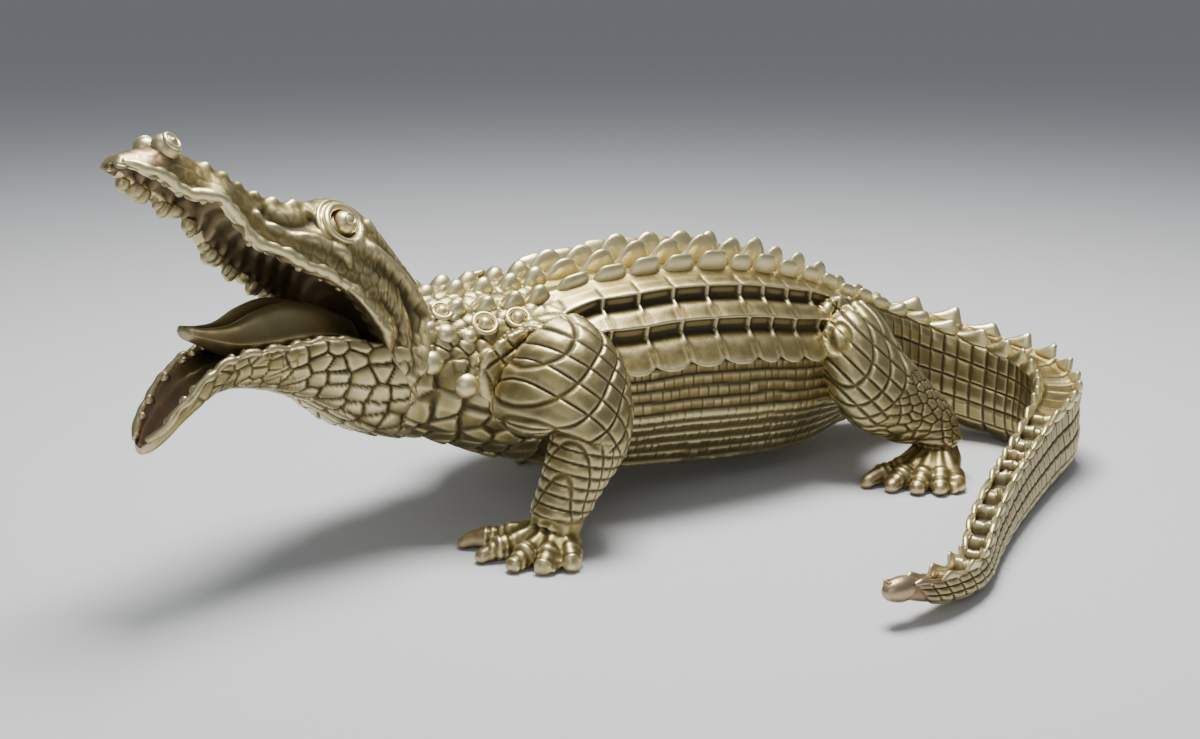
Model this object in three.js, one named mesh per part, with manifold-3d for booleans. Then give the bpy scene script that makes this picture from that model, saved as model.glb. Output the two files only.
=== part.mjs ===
// A cast bronze crocodile, open mouthed, standing on four feet with its tail hooked round to its left.
// Millimetres, +Z up. The head looks along -X, the animal's left side faces -Y, the ground is z = 0.
// One casting, so one mesh: every form below is a closed skin, and the skins are joined into one solid.
import * as THREE from 'three';
import Module from 'manifold-3d';

// Where the drawing's zero (on the ground under the shoulders' and hips' middle) lies in the part's own
// frame, whose origin is the middle of the box's underside.
const FRAME_SHIFT = new THREE.Vector3(22.8, 46.45, 0);

// Spine, from the nape to the tip of the tail: x, y, height of the back, height of the belly, half width,
// form (-1 is neck, 0 is trunk, 1 is the tail's root, 2 its blade), and lean: how far the belly stands out
// to the right of the back.
const SPINE = [
  [-128, -4, 95, 44, 27, -1, 0],
  [-98, -1, 94, 31, 37, -1, 0],
  [-72, 0, 93.5, 22.5, 43.5, -0.6, 0],
  [-44, 0, 96.5, 16, 48, 0, 0],
  [-8, 0, 98, 12, 49, 0, 0],
  [28, 0, 95.5, 9.5, 48.5, 0, 0],
  [60, 0, 88.5, 9.5, 44, 0, 0],
  [88, 2.5, 77.5, 13, 33, 0.3, 0],
  [116, 4.5, 67, 16, 23.5, 0.75, 0],
  [141, -1, 59.5, 11, 18, 1, 0],
  [159.5, -16, 52.5, 6.5, 15, 1, 0],
  [171.5, -36.5, 46.5, 2.6, 12.8, 1.4, 0.5],
  [174.5, -56.5, 42.5, 1.2, 10.8, 2, 0.5],
  [165.5, -76.5, 37.5, 1.2, 9.3, 2, 1],
  [131.6, -98.2, 31, 1.4, 6.2, 2, 3.2],
  [92, -123, 24, 1.4, 5.2, 2, 3.4],
  [58.5, -146.6, 18, 1.6, 5.2, 2, 2.8],
  [34, -166.5, 13.6, 2.4, 5.1, 1.5, 1.5],
  [14, -175, 14, 4.4, 4.8, 1, 0],
  [-2, -176.5, 15.4, 8, 4, 1, 0],
  [-12, -175, 16.4, 12.4, 2, 1, 0],
];

// Bands of the armour along the spine, front to back: [how many, how long each is]. They start behind the
// shoulder, and from the hip on each band carries one crest tooth.
const ARMOUR_START = 68;
const TRUNK_BANDS = 9;
const TOOTH_PEAK = 0.66;
const TOOTH_HOLLOW = 1.6;
const TAB_ROUNDNESS = 0.6;
const TAB_TO_TOOTH = [0.2, 0.9];
const TAB_PLACES = [0.05, 0.5];
const TOOTH_PLACES = [0, TOOTH_PEAK];
const NECK_STOPS = [0, 14, 28, 42, 55];
const BANDS = [
  [5, 16.4], [4, 12.6], [3, 12.5], [2, 13], [1, 16], [1, 15], [1, 17], [1, 13.5], [1, 11], [1, 10.5],
  [1, 8.5], [1, 7.5], [2, 9], [3, 14.5], [2, 9.3], [1, 12], [1, 18.5], [3, 12.3], [1, 8.5], [1, 13.5],
  [1, 14], [1, 11.5],
];

// Half sections as shares of the half width and of the height, from the middle of the back to the belly.
// The second point carries the inner keels, the fourth the outer keels or the tail's crest teeth.
const NECK = [[0, 1], [0.16, 1], [0.32, 0.97], [0.46, 0.93], [0.6, 0.87], [0.72, 0.8], [0.8, 0.73],
  [0.9, 0.62], [0.96, 0.52], [1, 0.42], [0.97, 0.3], [0.86, 0.16], [0.5, 0.03], [0, 0]];
const TRUNK = [[0, 0.985], [0.15, 1], [0.27, 0.965], [0.42, 0.99], [0.56, 0.945], [0.67, 0.925],
  [0.64, 0.85], [0.84, 0.785], [0.8, 0.71], [1, 0.61], [0.9, 0.585], [0.945, 0.33], [0.66, 0.06], [0, 0]];
const TAIL = [[0, 0.96], [0.4, 0.965], [0.52, 0.985], [0.64, 1], [0.78, 0.95], [0.86, 0.86], [0.9, 0.75],
  [0.94, 0.64], [0.98, 0.53], [1, 0.42], [0.98, 0.3], [0.88, 0.17], [0.5, 0.03], [0, 0]];
const BLADE = [[0, 0.93], [0.5, 0.935], [0.72, 0.96], [0.9, 1], [0.98, 0.96], [0.96, 0.87], [0.94, 0.76],
  [0.95, 0.64], [0.98, 0.53], [1, 0.42], [0.98, 0.3], [0.88, 0.17], [0.5, 0.03], [0, 0]];
const SECTIONS = [NECK, TRUNK, TAIL, BLADE];
const INNER_KEEL = 1;
const OUTER_KEEL = 3;
const FLANGE = 9;
const FLANGE_FLARE = 1.5;
const RUNG_REST = 0.6;

// How far the keels stand up along the spine: distance from the nape, inner keels, outer keels or crest
// teeth, and rungs, the bars that join the two rows of teeth past the tail's bend.
const KEELS = [
  [0, 0, 0, 0], [60, 3, 2, 0], [80, 7, 4.5, 0], [125, 10, 6.5, 0], [180, 10, 6.5, 0], [200, 10.5, 5.5, 0],
  [220, 9, 4.5, 0], [245, 5, 4, 0], [262, 0, 5, 0], [275, 0, 6, 0], [335, 0, 6.5, 0], [355, 0, 4.5, 0],
  [385, 0, 3, 1.5], [420, 0, 1.2, 3.5], [510, 0, 1.2, 3.5], [522, 3, 4.5, 3.5], [548, 2, 3, 2], [560, 0, 0, 0],
];

// The two jaws' frames: both hinge at the same place, and are turned by yaw to the left, pitch up and roll
// to the right, in degrees.
const HINGE = new THREE.Vector3(-130, -4, 72);
const UPPER = jawFrame(20, 38, 12);
const LOWER = jawFrame(22, -2, 0);

// Skull and upper jaw, from the nape to the snout: distance along the jaw, half width, height of the top,
// height of the lip, and how far the palate arches above the lip.
const SKULL = [
  [-16, 24, 24, -18, 3], [0, 27, 31, -14, 4], [15, 27, 35, -7, 6], [30, 25.5, 38, 1, 8],
  [41, 23.5, 40.5, 4.6, 9], [52, 21.5, 38, 4.2, 9], [62, 20, 30.6, 3.2, 8], [72, 17.2, 24.6, 2.5, 7.5],
  [82, 13.8, 21.4, 2.4, 7], [90, 12.6, 20, 5.6, 5], [99, 13.8, 19.2, 7.2, 5], [107, 10.8, 18.8, 4.4, 5],
  [116, 9, 17.6, 3.6, 5], [124, 9.4, 14.4, 2.6, 4], [130, 7.8, 10, 2, 3], [135.5, 4, 4.2, 0.4, 1.5],
];
const SKULL_SIDE = [[0, 0.97], [0.36, 1], [0.62, 0.88], [0.84, 0.64], [1.02, 0.24], [0.98, 0]];
const PALATE = [[0.8, 0], [0.5, 0.8], [0, 1]];

// Lower jaw and throat: distance along the jaw, half width, height of the rim, height of the underside,
// depth of the trough.
const JAW = [
  [-14, 27, 4, -36, 1], [4, 26.5, 8, -30.5, 2], [20, 24, 12.5, -23, 4], [36, 20, 16.8, -9, 6],
  [52, 17, 17.2, -0.8, 7], [66, 14, 17.7, 4, 6.5], [75, 11.8, 16.6, 5.4, 6], [82, 11.7, 14, 4, 5],
  [88, 11.4, 10.2, 1, 4.5], [94, 10.4, 5.6, -2.5, 4], [100, 8.4, 0, -7, 3.5], [104, 5.6, -4, -9.6, 3],
  [106.5, 2.6, -6.6, -10.2, 1],
];
const JAW_SIDE = [[0.8, 0], [1, 0], [1.04, -0.25], [0.98, -0.55], [0.6, -0.93], [0, -1]];
const TROUGH = [[0, 1], [0.55, 0.85]];

// Tongue, in the lower jaw: distance along the jaw, half width, height of the top, height of the underside.
const TONGUE = [
  [16, 12, 19, 6], [31, 14, 27, 7], [45, 14.4, 31, 8], [57, 12.6, 30.2, 10], [68, 9.2, 27.4, 16],
  [77, 6.2, 28, 23], [84, 2.2, 29.8, 27.6],
];
const TONGUE_HALF = [[0, 0.84], [0.34, 1], [0.7, 0.92], [0.97, 0.6], [1, 0.45], [0.66, 0.12], [0, 0]];

// Eyes and nostrils, in the upper jaw's frame: along, outwards and up. A lid is an almond whose length,
// depth and height are given, tilted so that its rear end is the higher one, in degrees.
const EYE = { along: 50, out: 16.5, up: 27.5, ball: 4.2, proud: 2.6, lid: [9.6, 4.8, 6.8], tilt: 34 };
const NOSTRIL = { along: 122, out: 5.3, up: 17.2, ball: 4.2 };

// Teeth: how many to a side, the stretch of jaw they stand on, how long they are on the left and on the
// right, how thick, and every other tooth's share of the length. The right side's gum hangs lower.
const UPPER_TEETH = { count: 7, from: 46, to: 116, left: 4.4, right: 8, radius: 2.6, way: -1 };
const LOWER_TEETH = { count: 5, from: 44, to: 99, left: 3.6, right: 3.6, radius: 1.9, way: 1 };
const SHORT_TOOTH = 0.75;
const TOOTH_INSET = 0.9;
const TOOTH_PROUD = 0.3;

// Round bosses on the nape, the neck and the shoulder: distance along the spine, angle from the top of the
// back down the side in degrees, radius.
const BOSSES = [
  [10, 14, 5], [30, 12, 5.4], [50, 12, 5.6], [22, 38, 5.6], [42, 38, 5.6], [30, 62, 6], [48, 62, 6],
  [26, 86, 6.4],
];

// How many facets the rounded forms have, around and from pole to pole.
const EYE_FACETS = [6, 4];
const LID_FACETS = [8, 5];
const BOSS_FACETS = [5, 3];
const TOOTH_SIDES = 4;

// Limbs: the middle line from inside the body to the ankle, each point with its radius in the plane of the
// limb's bend and across it; then the ankle on the ground and the toes' tips.
const FRONT_LIMB = [
  [-72, -26, 64, 24, 18], [-73, -40, 66, 26, 16], [-66, -52, 57, 23.5, 14.5], [-63.5, -59, 45, 16.2, 14],
  [-70.5, -61, 31, 12.2, 12], [-76, -61, 20, 10.4, 10.6], [-80, -61.5, 10, 10, 11],
];
const HIND_LIMB = [
  [78, -18, 60, 15, 14], [80, -34, 62, 16.5, 13], [80, -43, 53, 18.5, 13], [84, -50, 41, 19, 13],
  [96, -55, 31.5, 15.5, 12], [107, -59, 24, 11, 10.4], [111, -61, 14, 9.6, 10],
];
const FRONT_TOES = [[-110.5, -40], [-111, -57.5], [-104.5, -72.5], [-95.5, -80.5], [-84, -83.5]];
const HIND_TOES = [[70, -61], [75.5, -71], [83, -79.5], [91.5, -85.5], [101.5, -86]];
const FRONT_FOOT = { heel: [-78, -61], toes: FRONT_TOES, radius: 4.4, high: 1, wide: 3 };
const HIND_FOOT = { heel: [111, -61], toes: HIND_TOES, radius: 4.6, high: 1.12, wide: 5 };

// The palm: sections from behind the ankle to the toes' roots, each a share of the way to the toes, a share
// of their spread, and a height. Its widest line stands at a share of that height.
const PALM = [[-0.25, 0.2, 9], [0, 0.34, 17], [0.3, 0.5, 13.4], [0.55, 0.66, 10], [0.76, 0.74, 6.4]];
const PALM_WAIST = 0.36;

// A toe: shares of the way from the ankle to its tip, heights, and shares of its radius.
const TOE = [[0.4, 7, 0.9], [0.82, 4, 1], [1.02, 2.8, 0.42]];
const LIMB_SIDES = 8;
const TOE_SIDES = 5;

// The far front foot stands further back by a step, which fades out up the limb between two heights.
const FAR_FRONT_STEP = 64;
const STEP_FADE = [15, 70];

const GROUND_SIZE = 900;
const GROUND_DEPTH = 100;
const WORLD_AXES = [new THREE.Vector3(1, 0, 0), new THREE.Vector3(0, 1, 0), new THREE.Vector3(0, 0, 1)];

const BRONZE = new THREE.MeshStandardMaterial({ color: 0x8a8160, roughness: 0.42, metalness: 0.9 });

const wasm = await Module();
wasm.setup();

// Axes of a jaw: forward, to the animal's left, and up, after yaw, pitch and roll.
function jawFrame(yaw, pitch, roll) {
  const turn = new THREE.Matrix4()
    .multiply(new THREE.Matrix4().makeRotationZ(THREE.MathUtils.degToRad(yaw)))
    .multiply(new THREE.Matrix4().makeRotationY(THREE.MathUtils.degToRad(pitch)))
    .multiply(new THREE.Matrix4().makeRotationX(THREE.MathUtils.degToRad(-roll)));
  const forward = new THREE.Vector3(-1, 0, 0).transformDirection(turn);
  const left = new THREE.Vector3(0, -1, 0).transformDirection(turn);
  const up = new THREE.Vector3(0, 0, 1).transformDirection(turn);
  return { forward, left, up };
}

// A point of a jaw, given along the jaw, to its left and up.
function jawPoint(frame, along, left, up) {
  return HINGE.clone().addScaledVector(frame.forward, along).addScaledVector(frame.left, left)
    .addScaledVector(frame.up, up);
}

// Smooth curve through rows of numbers whose first number is the key: cubic pieces with shared slopes.
function spline(rows, key) {
  const last = rows.length - 1;
  const k = THREE.MathUtils.clamp(key, rows[0][0], rows[last][0]);
  let i = 0;
  while (i < last - 1 && k > rows[i + 1][0]) i += 1;
  const slope = (j, c) => {
    const a = rows[Math.max(j - 1, 0)];
    const b = rows[Math.min(j + 1, last)];
    return (b[c] - a[c]) / (b[0] - a[0]);
  };
  const width = rows[i + 1][0] - rows[i][0];
  const t = (k - rows[i][0]) / width;
  const fromStart = (1 + 2 * t) * (1 - t) ** 2;
  const fromEnd = t * t * (3 - 2 * t);
  return rows[i].slice(1).map((_, j) => fromStart * rows[i][j + 1] + fromEnd * rows[i + 1][j + 1]
    + width * (t * (1 - t) ** 2 * slope(i, j + 1) + t * t * (t - 1) * slope(i + 1, j + 1)));
}

// Straight-line interpolation in the same kind of table.
function linear(rows, key) {
  let i = 0;
  while (i < rows.length - 2 && key > rows[i + 1][0]) i += 1;
  const t = THREE.MathUtils.clamp((key - rows[i][0]) / (rows[i + 1][0] - rows[i][0]), 0, 1);
  return rows[i].slice(1).map((value, j) => value + t * (rows[i + 1][j + 1] - value));
}

// A closed skin over rings of equal length, each ring in order round the form, with both ends capped.
function skin(rings) {
  const n = rings[0].length;
  const points = rings.flat();
  const middle = (ring) => ring.reduce((sum, p) => sum.add(p), new THREE.Vector3()).divideScalar(n);
  points.push(middle(rings[0]), middle(rings[rings.length - 1]));
  const start = points.length - 2;
  const index = [];
  for (let i = 0; i < rings.length - 1; i += 1) {
    for (let j = 0; j < n; j += 1) {
      const a = i * n + j;
      const b = i * n + ((j + 1) % n);
      index.push(a, b, a + n, b, b + n, a + n);
    }
  }
  const lastRing = (rings.length - 1) * n;
  for (let j = 0; j < n; j += 1) {
    index.push(start, (j + 1) % n, j);
    index.push(start + 1, lastRing + j, lastRing + ((j + 1) % n));
  }
  return solid(points, index);
}

// A solid from points and triangles, turned right side out.
function solid(points, index) {
  let volume = 0;
  for (let i = 0; i < index.length; i += 3) {
    const [a, b, c] = [points[index[i]], points[index[i + 1]], points[index[i + 2]]];
    volume += a.dot(b.clone().cross(c));
  }
  const triVerts = new Uint32Array(index);
  if (volume < 0) triVerts.reverse();
  const vertProperties = new Float32Array(points.flatMap((p) => [p.x, p.y, p.z]));
  return new wasm.Manifold(new wasm.Mesh({ numProp: 3, vertProperties, triVerts }));
}

// A solid from a closed three.js geometry: vertices that share a place are made one.
function fromGeometry(geometry, matrix) {
  const place = geometry.clone().applyMatrix4(matrix).attributes.position;
  const seen = new Map();
  const points = [];
  const remap = [];
  for (let i = 0; i < place.count; i += 1) {
    const p = new THREE.Vector3().fromBufferAttribute(place, i);
    const key = [p.x, p.y, p.z].map((value) => Math.round(value * 1e3)).join();
    if (!seen.has(key)) seen.set(key, points.push(p) - 1);
    remap.push(seen.get(key));
  }
  const source = geometry.index ? Array.from(geometry.index.array) : remap.map((_, i) => i);
  const index = [];
  for (let i = 0; i < source.length; i += 3) {
    const [a, b, c] = source.slice(i, i + 3).map((k) => remap[k]);
    if (a !== b && b !== c && a !== c) index.push(a, b, c);
  }
  return solid(points, index);
}

// A ball or egg, stretched along three axes.
function egg(centre, axes, radii, facets) {
  const [a, b, c] = axes;
  const matrix = new THREE.Matrix4().makeBasis(
    a.clone().multiplyScalar(radii[0]),
    b.clone().multiplyScalar(radii[1]),
    c.clone().multiplyScalar(radii[2]),
  ).setPosition(centre);
  return fromGeometry(new THREE.SphereGeometry(1, ...facets), matrix);
}

// A tapering tube through stations of centre and two radii. The sections stand square to the path; the
// first radius lies in the plane of the path and the axis given, the second across it.
function tube(stations, across, sides) {
  const rings = stations.map(({ centre, radii }, i) => {
    const before = stations[Math.max(i - 1, 0)].centre;
    const after = stations[Math.min(i + 1, stations.length - 1)].centre;
    const along = after.clone().sub(before).normalize();
    const inPlane = across.clone().cross(along).normalize();
    const side = along.clone().cross(inPlane);
    return Array.from({ length: sides }, (_, j) => {
      const angle = (2 * Math.PI * j) / sides;
      return centre.clone().addScaledVector(inPlane, radii[0] * Math.cos(angle))
        .addScaledVector(side, radii[1] * Math.sin(angle));
    });
  });
  return skin(rings);
}

// The spine with each row keyed by its distance from the nape.
function measuredSpine() {
  let distance = 0;
  return SPINE.map((row, i) => {
    if (i > 0) distance += Math.hypot(row[0] - SPINE[i - 1][0], row[1] - SPINE[i - 1][1]);
    return [distance, ...row];
  });
}

const SPINE_ROWS = measuredSpine();
const SPINE_END = SPINE_ROWS[SPINE_ROWS.length - 1][0];

// Where the armour's bands start and end along the spine.
function bandEdges() {
  const edges = [ARMOUR_START];
  BANDS.forEach(([count, length]) => {
    for (let i = 0; i < count; i += 1) edges.push(edges[edges.length - 1] + length);
  });
  return edges;
}

const BAND_EDGES = bandEdges();

// How far a keel has risen at a place in its band, 0 to 1: a rounded tab on the trunk, a tooth that leans
// back on the tail.
function keelRise(place, form) {
  const tab = Math.sin(Math.PI * THREE.MathUtils.clamp(place, 0, 1)) ** TAB_ROUNDNESS;
  const tooth = place < TOOTH_PEAK ? (place / TOOTH_PEAK) ** TOOTH_HOLLOW : (1 - place) / (1 - TOOTH_PEAK);
  return THREE.MathUtils.lerp(tab, tooth, THREE.MathUtils.smoothstep(form, ...TAB_TO_TOOTH));
}

// The half section at a distance along the spine: outward from the middle, and up from the ground.
function halfSection(distance, place) {
  const [, , top, bottom, half, form] = spline(SPINE_ROWS, distance);
  const [inner, outer, rung] = linear(KEELS, distance);
  const rise = keelRise(place, form);
  const first = THREE.MathUtils.clamp(Math.floor(form + 1), 0, SECTIONS.length - 2);
  const share = THREE.MathUtils.clamp(form + 1 - first, 0, 1);
  const flare = FLANGE_FLARE * rise * Math.max(1 - Math.abs(form), 0);
  return SECTIONS[first].map(([out, up], k) => {
    const [nextOut, nextUp] = SECTIONS[first + 1][k];
    let o = half * THREE.MathUtils.lerp(out, nextOut, share);
    let z = bottom + (top - bottom) * THREE.MathUtils.lerp(up, nextUp, share);
    if (k === INNER_KEEL) z += inner * rise;
    if (k === OUTER_KEEL) z += outer * rise;
    if (k < OUTER_KEEL) z += rung * (rise - RUNG_REST);
    if (k === FLANGE) o += flare;
    return [o, z];
  });
}

// One ring of the trunk and tail.
function spineRing(distance, place) {
  const [x, y, top, bottom, , , lean] = spline(SPINE_ROWS, distance);
  const ahead = spline(SPINE_ROWS, Math.min(distance + 1, SPINE_END));
  const behind = spline(SPINE_ROWS, Math.max(distance - 1, 0));
  const left = new THREE.Vector2(ahead[1] - behind[1], behind[0] - ahead[0]).normalize();
  const half = halfSection(distance, place);
  const point = ([out, up], side) => {
    const across = side * out - lean * (top - up) / (top - bottom);
    return new THREE.Vector3(x + across * left.x, y + across * left.y, up);
  };
  return [
    ...half.map((p) => point(p, 1)),
    ...half.slice(1, -1).reverse().map((p) => point(p, -1)),
  ];
}

// Neck, trunk and tail in one skin. Each band has a ring just inside its front edge, at its keels' tops
// and just inside its back edge.
function trunkAndTail() {
  const stops = NECK_STOPS.map((distance) => [distance, 0]);
  BAND_EDGES.slice(0, -1).forEach((front, i) => {
    const length = BAND_EDGES[i + 1] - front;
    const places = i < TRUNK_BANDS ? TAB_PLACES : TOOTH_PLACES;
    places.forEach((place) => stops.push([front + place * length, place]));
  });
  stops.push([BAND_EDGES[BAND_EDGES.length - 1], 0]);
  stops.push([SPINE_END, 0]);
  return skin(stops.filter(([distance]) => distance <= SPINE_END).map(([d, place]) => spineRing(d, place)));
}

// One ring of the skull: over the top, down each side to the lip, and across the palate.
function skullRing(along) {
  const [half, top, lip, arch] = spline(SKULL, along);
  const side = SKULL_SIDE.map(([out, up]) => [half * out, lip + (top - lip) * up]);
  const roof = PALATE.map(([out, up]) => [half * out, lip + arch * up]);
  const profile = [...side, ...roof];
  const back = profile.slice(1, -1).reverse().map(([out, up]) => [-out, up]);
  return [...profile, ...back].map(([out, up]) => jawPoint(UPPER, along, out, up));
}

// One ring of the lower jaw: across the trough, over the rim and round the underside.
function jawRing(along) {
  const [half, rim, under, depth] = spline(JAW, along);
  const floor = TROUGH.map(([out, down]) => [half * out, rim - depth * down]);
  const side = JAW_SIDE.map(([out, share]) => [half * out, rim + (rim - under) * share]);
  const profile = [...floor, ...side];
  const back = profile.slice(1, -1).reverse().map(([out, up]) => [-out, up]);
  return [...profile, ...back].map(([out, up]) => jawPoint(LOWER, along, out, up));
}

// One ring of the tongue, with a groove along its middle.
function tongueRing(along) {
  const [half, top, under] = spline(TONGUE, along);
  const profile = TONGUE_HALF.map(([out, up]) => [half * out, under + (top - under) * up]);
  const back = profile.slice(1, -1).reverse().map(([out, up]) => [-out, up]);
  return [...profile, ...back].map(([out, up]) => jawPoint(LOWER, along, out, up));
}

// Even steps from one value to another, both ends included.
function steps(from, to, count) {
  return Array.from({ length: count + 1 }, (_, i) => from + ((to - from) * i) / count);
}

// Skull, jaw and tongue, each a skin with as many rings as its table has rows.
function headForms() {
  return [[SKULL, skullRing], [JAW, jawRing], [TONGUE, tongueRing]].map(([table, ring]) => {
    const last = table.length - 1;
    return skin(steps(table[0][0], table[last][0], last + 1).map(ring));
  });
}

// Eyeballs in their almond lids, and the raised nostrils.
function eyesAndNostrils() {
  const { forward, left, up } = UPPER;
  const axes = [forward, left, up];
  const lean = THREE.MathUtils.degToRad(EYE.tilt);
  const lidLong = forward.clone().multiplyScalar(Math.cos(lean)).addScaledVector(up, -Math.sin(lean));
  const lidHigh = lidLong.clone().cross(left).negate();
  const ball = (radius) => [radius, radius, radius];
  return [-1, 1].flatMap((side) => [
    egg(jawPoint(UPPER, EYE.along, side * EYE.out, EYE.up), [lidLong, left, lidHigh], EYE.lid, LID_FACETS),
    egg(jawPoint(UPPER, EYE.along, side * (EYE.out + EYE.proud), EYE.up), axes, ball(EYE.ball), EYE_FACETS),
    egg(jawPoint(UPPER, NOSTRIL.along, side * NOSTRIL.out, NOSTRIL.up), axes, ball(NOSTRIL.ball), EYE_FACETS),
  ]);
}

// Teeth along one jaw: small square cones, alternately longer and shorter.
function teeth(row, table, frame, edgeColumn) {
  const across = frame.left.clone().multiplyScalar(row.way);
  const upright = frame.up.clone().multiplyScalar(row.way);
  return steps(row.from, row.to, row.count - 1).flatMap((along, i) => [-1, 1].map((side) => {
    const values = spline(table, along);
    const length = (side > 0 ? row.left : row.right) * (i % 2 ? SHORT_TOOTH : 1);
    const foot = values[edgeColumn] + row.way * length * TOOTH_PROUD;
    const matrix = new THREE.Matrix4().makeBasis(across, upright, frame.forward)
      .setPosition(jawPoint(frame, along, side * values[0] * TOOTH_INSET, foot));
    return fromGeometry(new THREE.ConeGeometry(row.radius, length, TOOTH_SIDES), matrix);
  }));
}

// Bosses set on the neck's skin, at an angle down from the top of the back.
function bosses() {
  return BOSSES.flatMap(([distance, angle, radius]) => [-1, 1].map((side) => {
    const [x, y, top, bottom, half] = spline(SPINE_ROWS, distance);
    const turn = THREE.MathUtils.degToRad(angle);
    const middle = (top + bottom) / 2;
    const up = middle + (top - middle) * Math.cos(turn);
    const centre = new THREE.Vector3(x, y - side * half * Math.sin(turn), up);
    return egg(centre, WORLD_AXES, [radius, radius, radius], BOSS_FACETS);
  }));
}

// A limb and its foot. The foot is a wedge from the ankle to the toes, the toes are tapering tubes, and
// the heel, toes and ankle can be mirrored and stepped along the ground.
function limb(line, foot, mirror, step) {
  const place = (x, y, z) => {
    const sink = 1 - THREE.MathUtils.clamp((z - STEP_FADE[0]) / (STEP_FADE[1] - STEP_FADE[0]), 0, 1);
    return new THREE.Vector3(x + step * sink, mirror * y, z);
  };
  const keyed = line.map((row, i) => [i, ...row]);
  const stations = steps(0, line.length - 1, line.length - 1).map((key) => {
    const [x, y, z, inPlane, side] = spline(keyed, key);
    return { centre: place(x, y, z), radii: [inPlane, side] };
  });
  const forms = [tube(stations, WORLD_AXES[1], LIMB_SIDES)];
  const heel = place(foot.heel[0], foot.heel[1], 0);
  const tips = foot.toes.map(([x, y]) => place(x, y, 0));
  const middle = tips.reduce((sum, p) => sum.add(p), new THREE.Vector3()).divideScalar(tips.length);
  forms.push(palm(heel, tips, middle, foot));
  tips.forEach((tip) => forms.push(toe(heel, tip, foot)));
  return forms;
}

// The palm: sections across the foot that widen and sink from the ankle to the toes' roots.
function palm(heel, tips, middle, foot) {
  const along = middle.clone().sub(heel).normalize();
  const across = new THREE.Vector3(-along.y, along.x, 0);
  const spread = tips.map((tip) => tip.clone().sub(heel).dot(across));
  const [low, high] = [Math.min(...spread), Math.max(...spread)];
  const reach = middle.clone().sub(heel).length();
  const rings = PALM.map(([share, width, height]) => {
    const centre = heel.clone().addScaledVector(along, share * reach)
      .addScaledVector(across, ((low + high) / 2) * Math.max(share, 0));
    const half = ((high - low) / 2) * width + foot.wide;
    const top = height * foot.high;
    return Array.from({ length: LIMB_SIDES }, (_, j) => {
      const angle = (2 * Math.PI * j) / LIMB_SIDES;
      return centre.clone().addScaledVector(across, half * Math.cos(angle))
        .setZ(top * (PALM_WAIST + (1 - PALM_WAIST) * Math.sin(angle)));
    });
  });
  return skin(rings);
}

// A toe, from inside the palm to its blunt claw.
function toe(heel, tip, foot) {
  const stations = TOE.map(([share, height, width]) => {
    const radius = foot.radius * width;
    return { centre: heel.clone().lerp(tip, share).setZ(height), radii: [radius, radius] };
  });
  const ahead = tip.clone().sub(heel).normalize();
  return tube(stations, new THREE.Vector3(-ahead.y, ahead.x, 0), TOE_SIDES);
}

// Everything below the ground is cut away, so that the soles are flat.
function ground() {
  const box = new THREE.BoxGeometry(GROUND_SIZE, GROUND_SIZE, GROUND_DEPTH);
  return fromGeometry(box, new THREE.Matrix4().makeTranslation(0, 0, -GROUND_DEPTH / 2));
}

// The outer skin alone: small pockets that the forms close in between them are filled.
function outerSkin(whole) {
  return whole.decompose().reduce((largest, shell) => (shell.volume() > largest.volume() ? shell : largest));
}

// The whole casting as one geometry in the part's own frame.
function castingGeometry() {
  const forms = [
    trunkAndTail(),
    ...headForms(),
    ...eyesAndNostrils(),
    ...teeth(UPPER_TEETH, SKULL, UPPER, 2),
    ...teeth(LOWER_TEETH, JAW, LOWER, 1),
    ...bosses(),
    ...limb(FRONT_LIMB, FRONT_FOOT, 1, 0),
    ...limb(HIND_LIMB, HIND_FOOT, 1, 0),
    ...limb(FRONT_LIMB, FRONT_FOOT, -1, FAR_FRONT_STEP),
    ...limb(HIND_LIMB, HIND_FOOT, -1, 0),
  ];
  const whole = forms.reduce((sum, form) => sum.add(form)).subtract(ground());
  const mesh = outerSkin(whole).getMesh();
  const geometry = new THREE.BufferGeometry();
  geometry.setAttribute('position', new THREE.BufferAttribute(Float32Array.from(mesh.vertProperties), 3));
  geometry.setIndex(new THREE.BufferAttribute(Uint32Array.from(mesh.triVerts), 1));
  geometry.translate(FRAME_SHIFT.x, FRAME_SHIFT.y, FRAME_SHIFT.z);
  geometry.computeVertexNormals();
  return geometry;
}

const group = new THREE.Group();
const crocodile = new THREE.Mesh(castingGeometry(), BRONZE);
crocodile.name = 'crocodile';
group.add(crocodile);

export default group;
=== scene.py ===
"""Looks of a cast bronze crocodile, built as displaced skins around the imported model.

Lengths are in millimetres in the drawing of the casting (zero on the ground under the middle of shoulders
and hips, head towards -X, the animal's left towards -Y) until a mesh is written, which is in metres in the
part's own frame. Every skin is a function of two parameters on a grid, or a profile carried along a path.
"""

import logging
import math
from dataclasses import dataclass, field
from enum import Enum
from typing import Callable, Sequence

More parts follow.
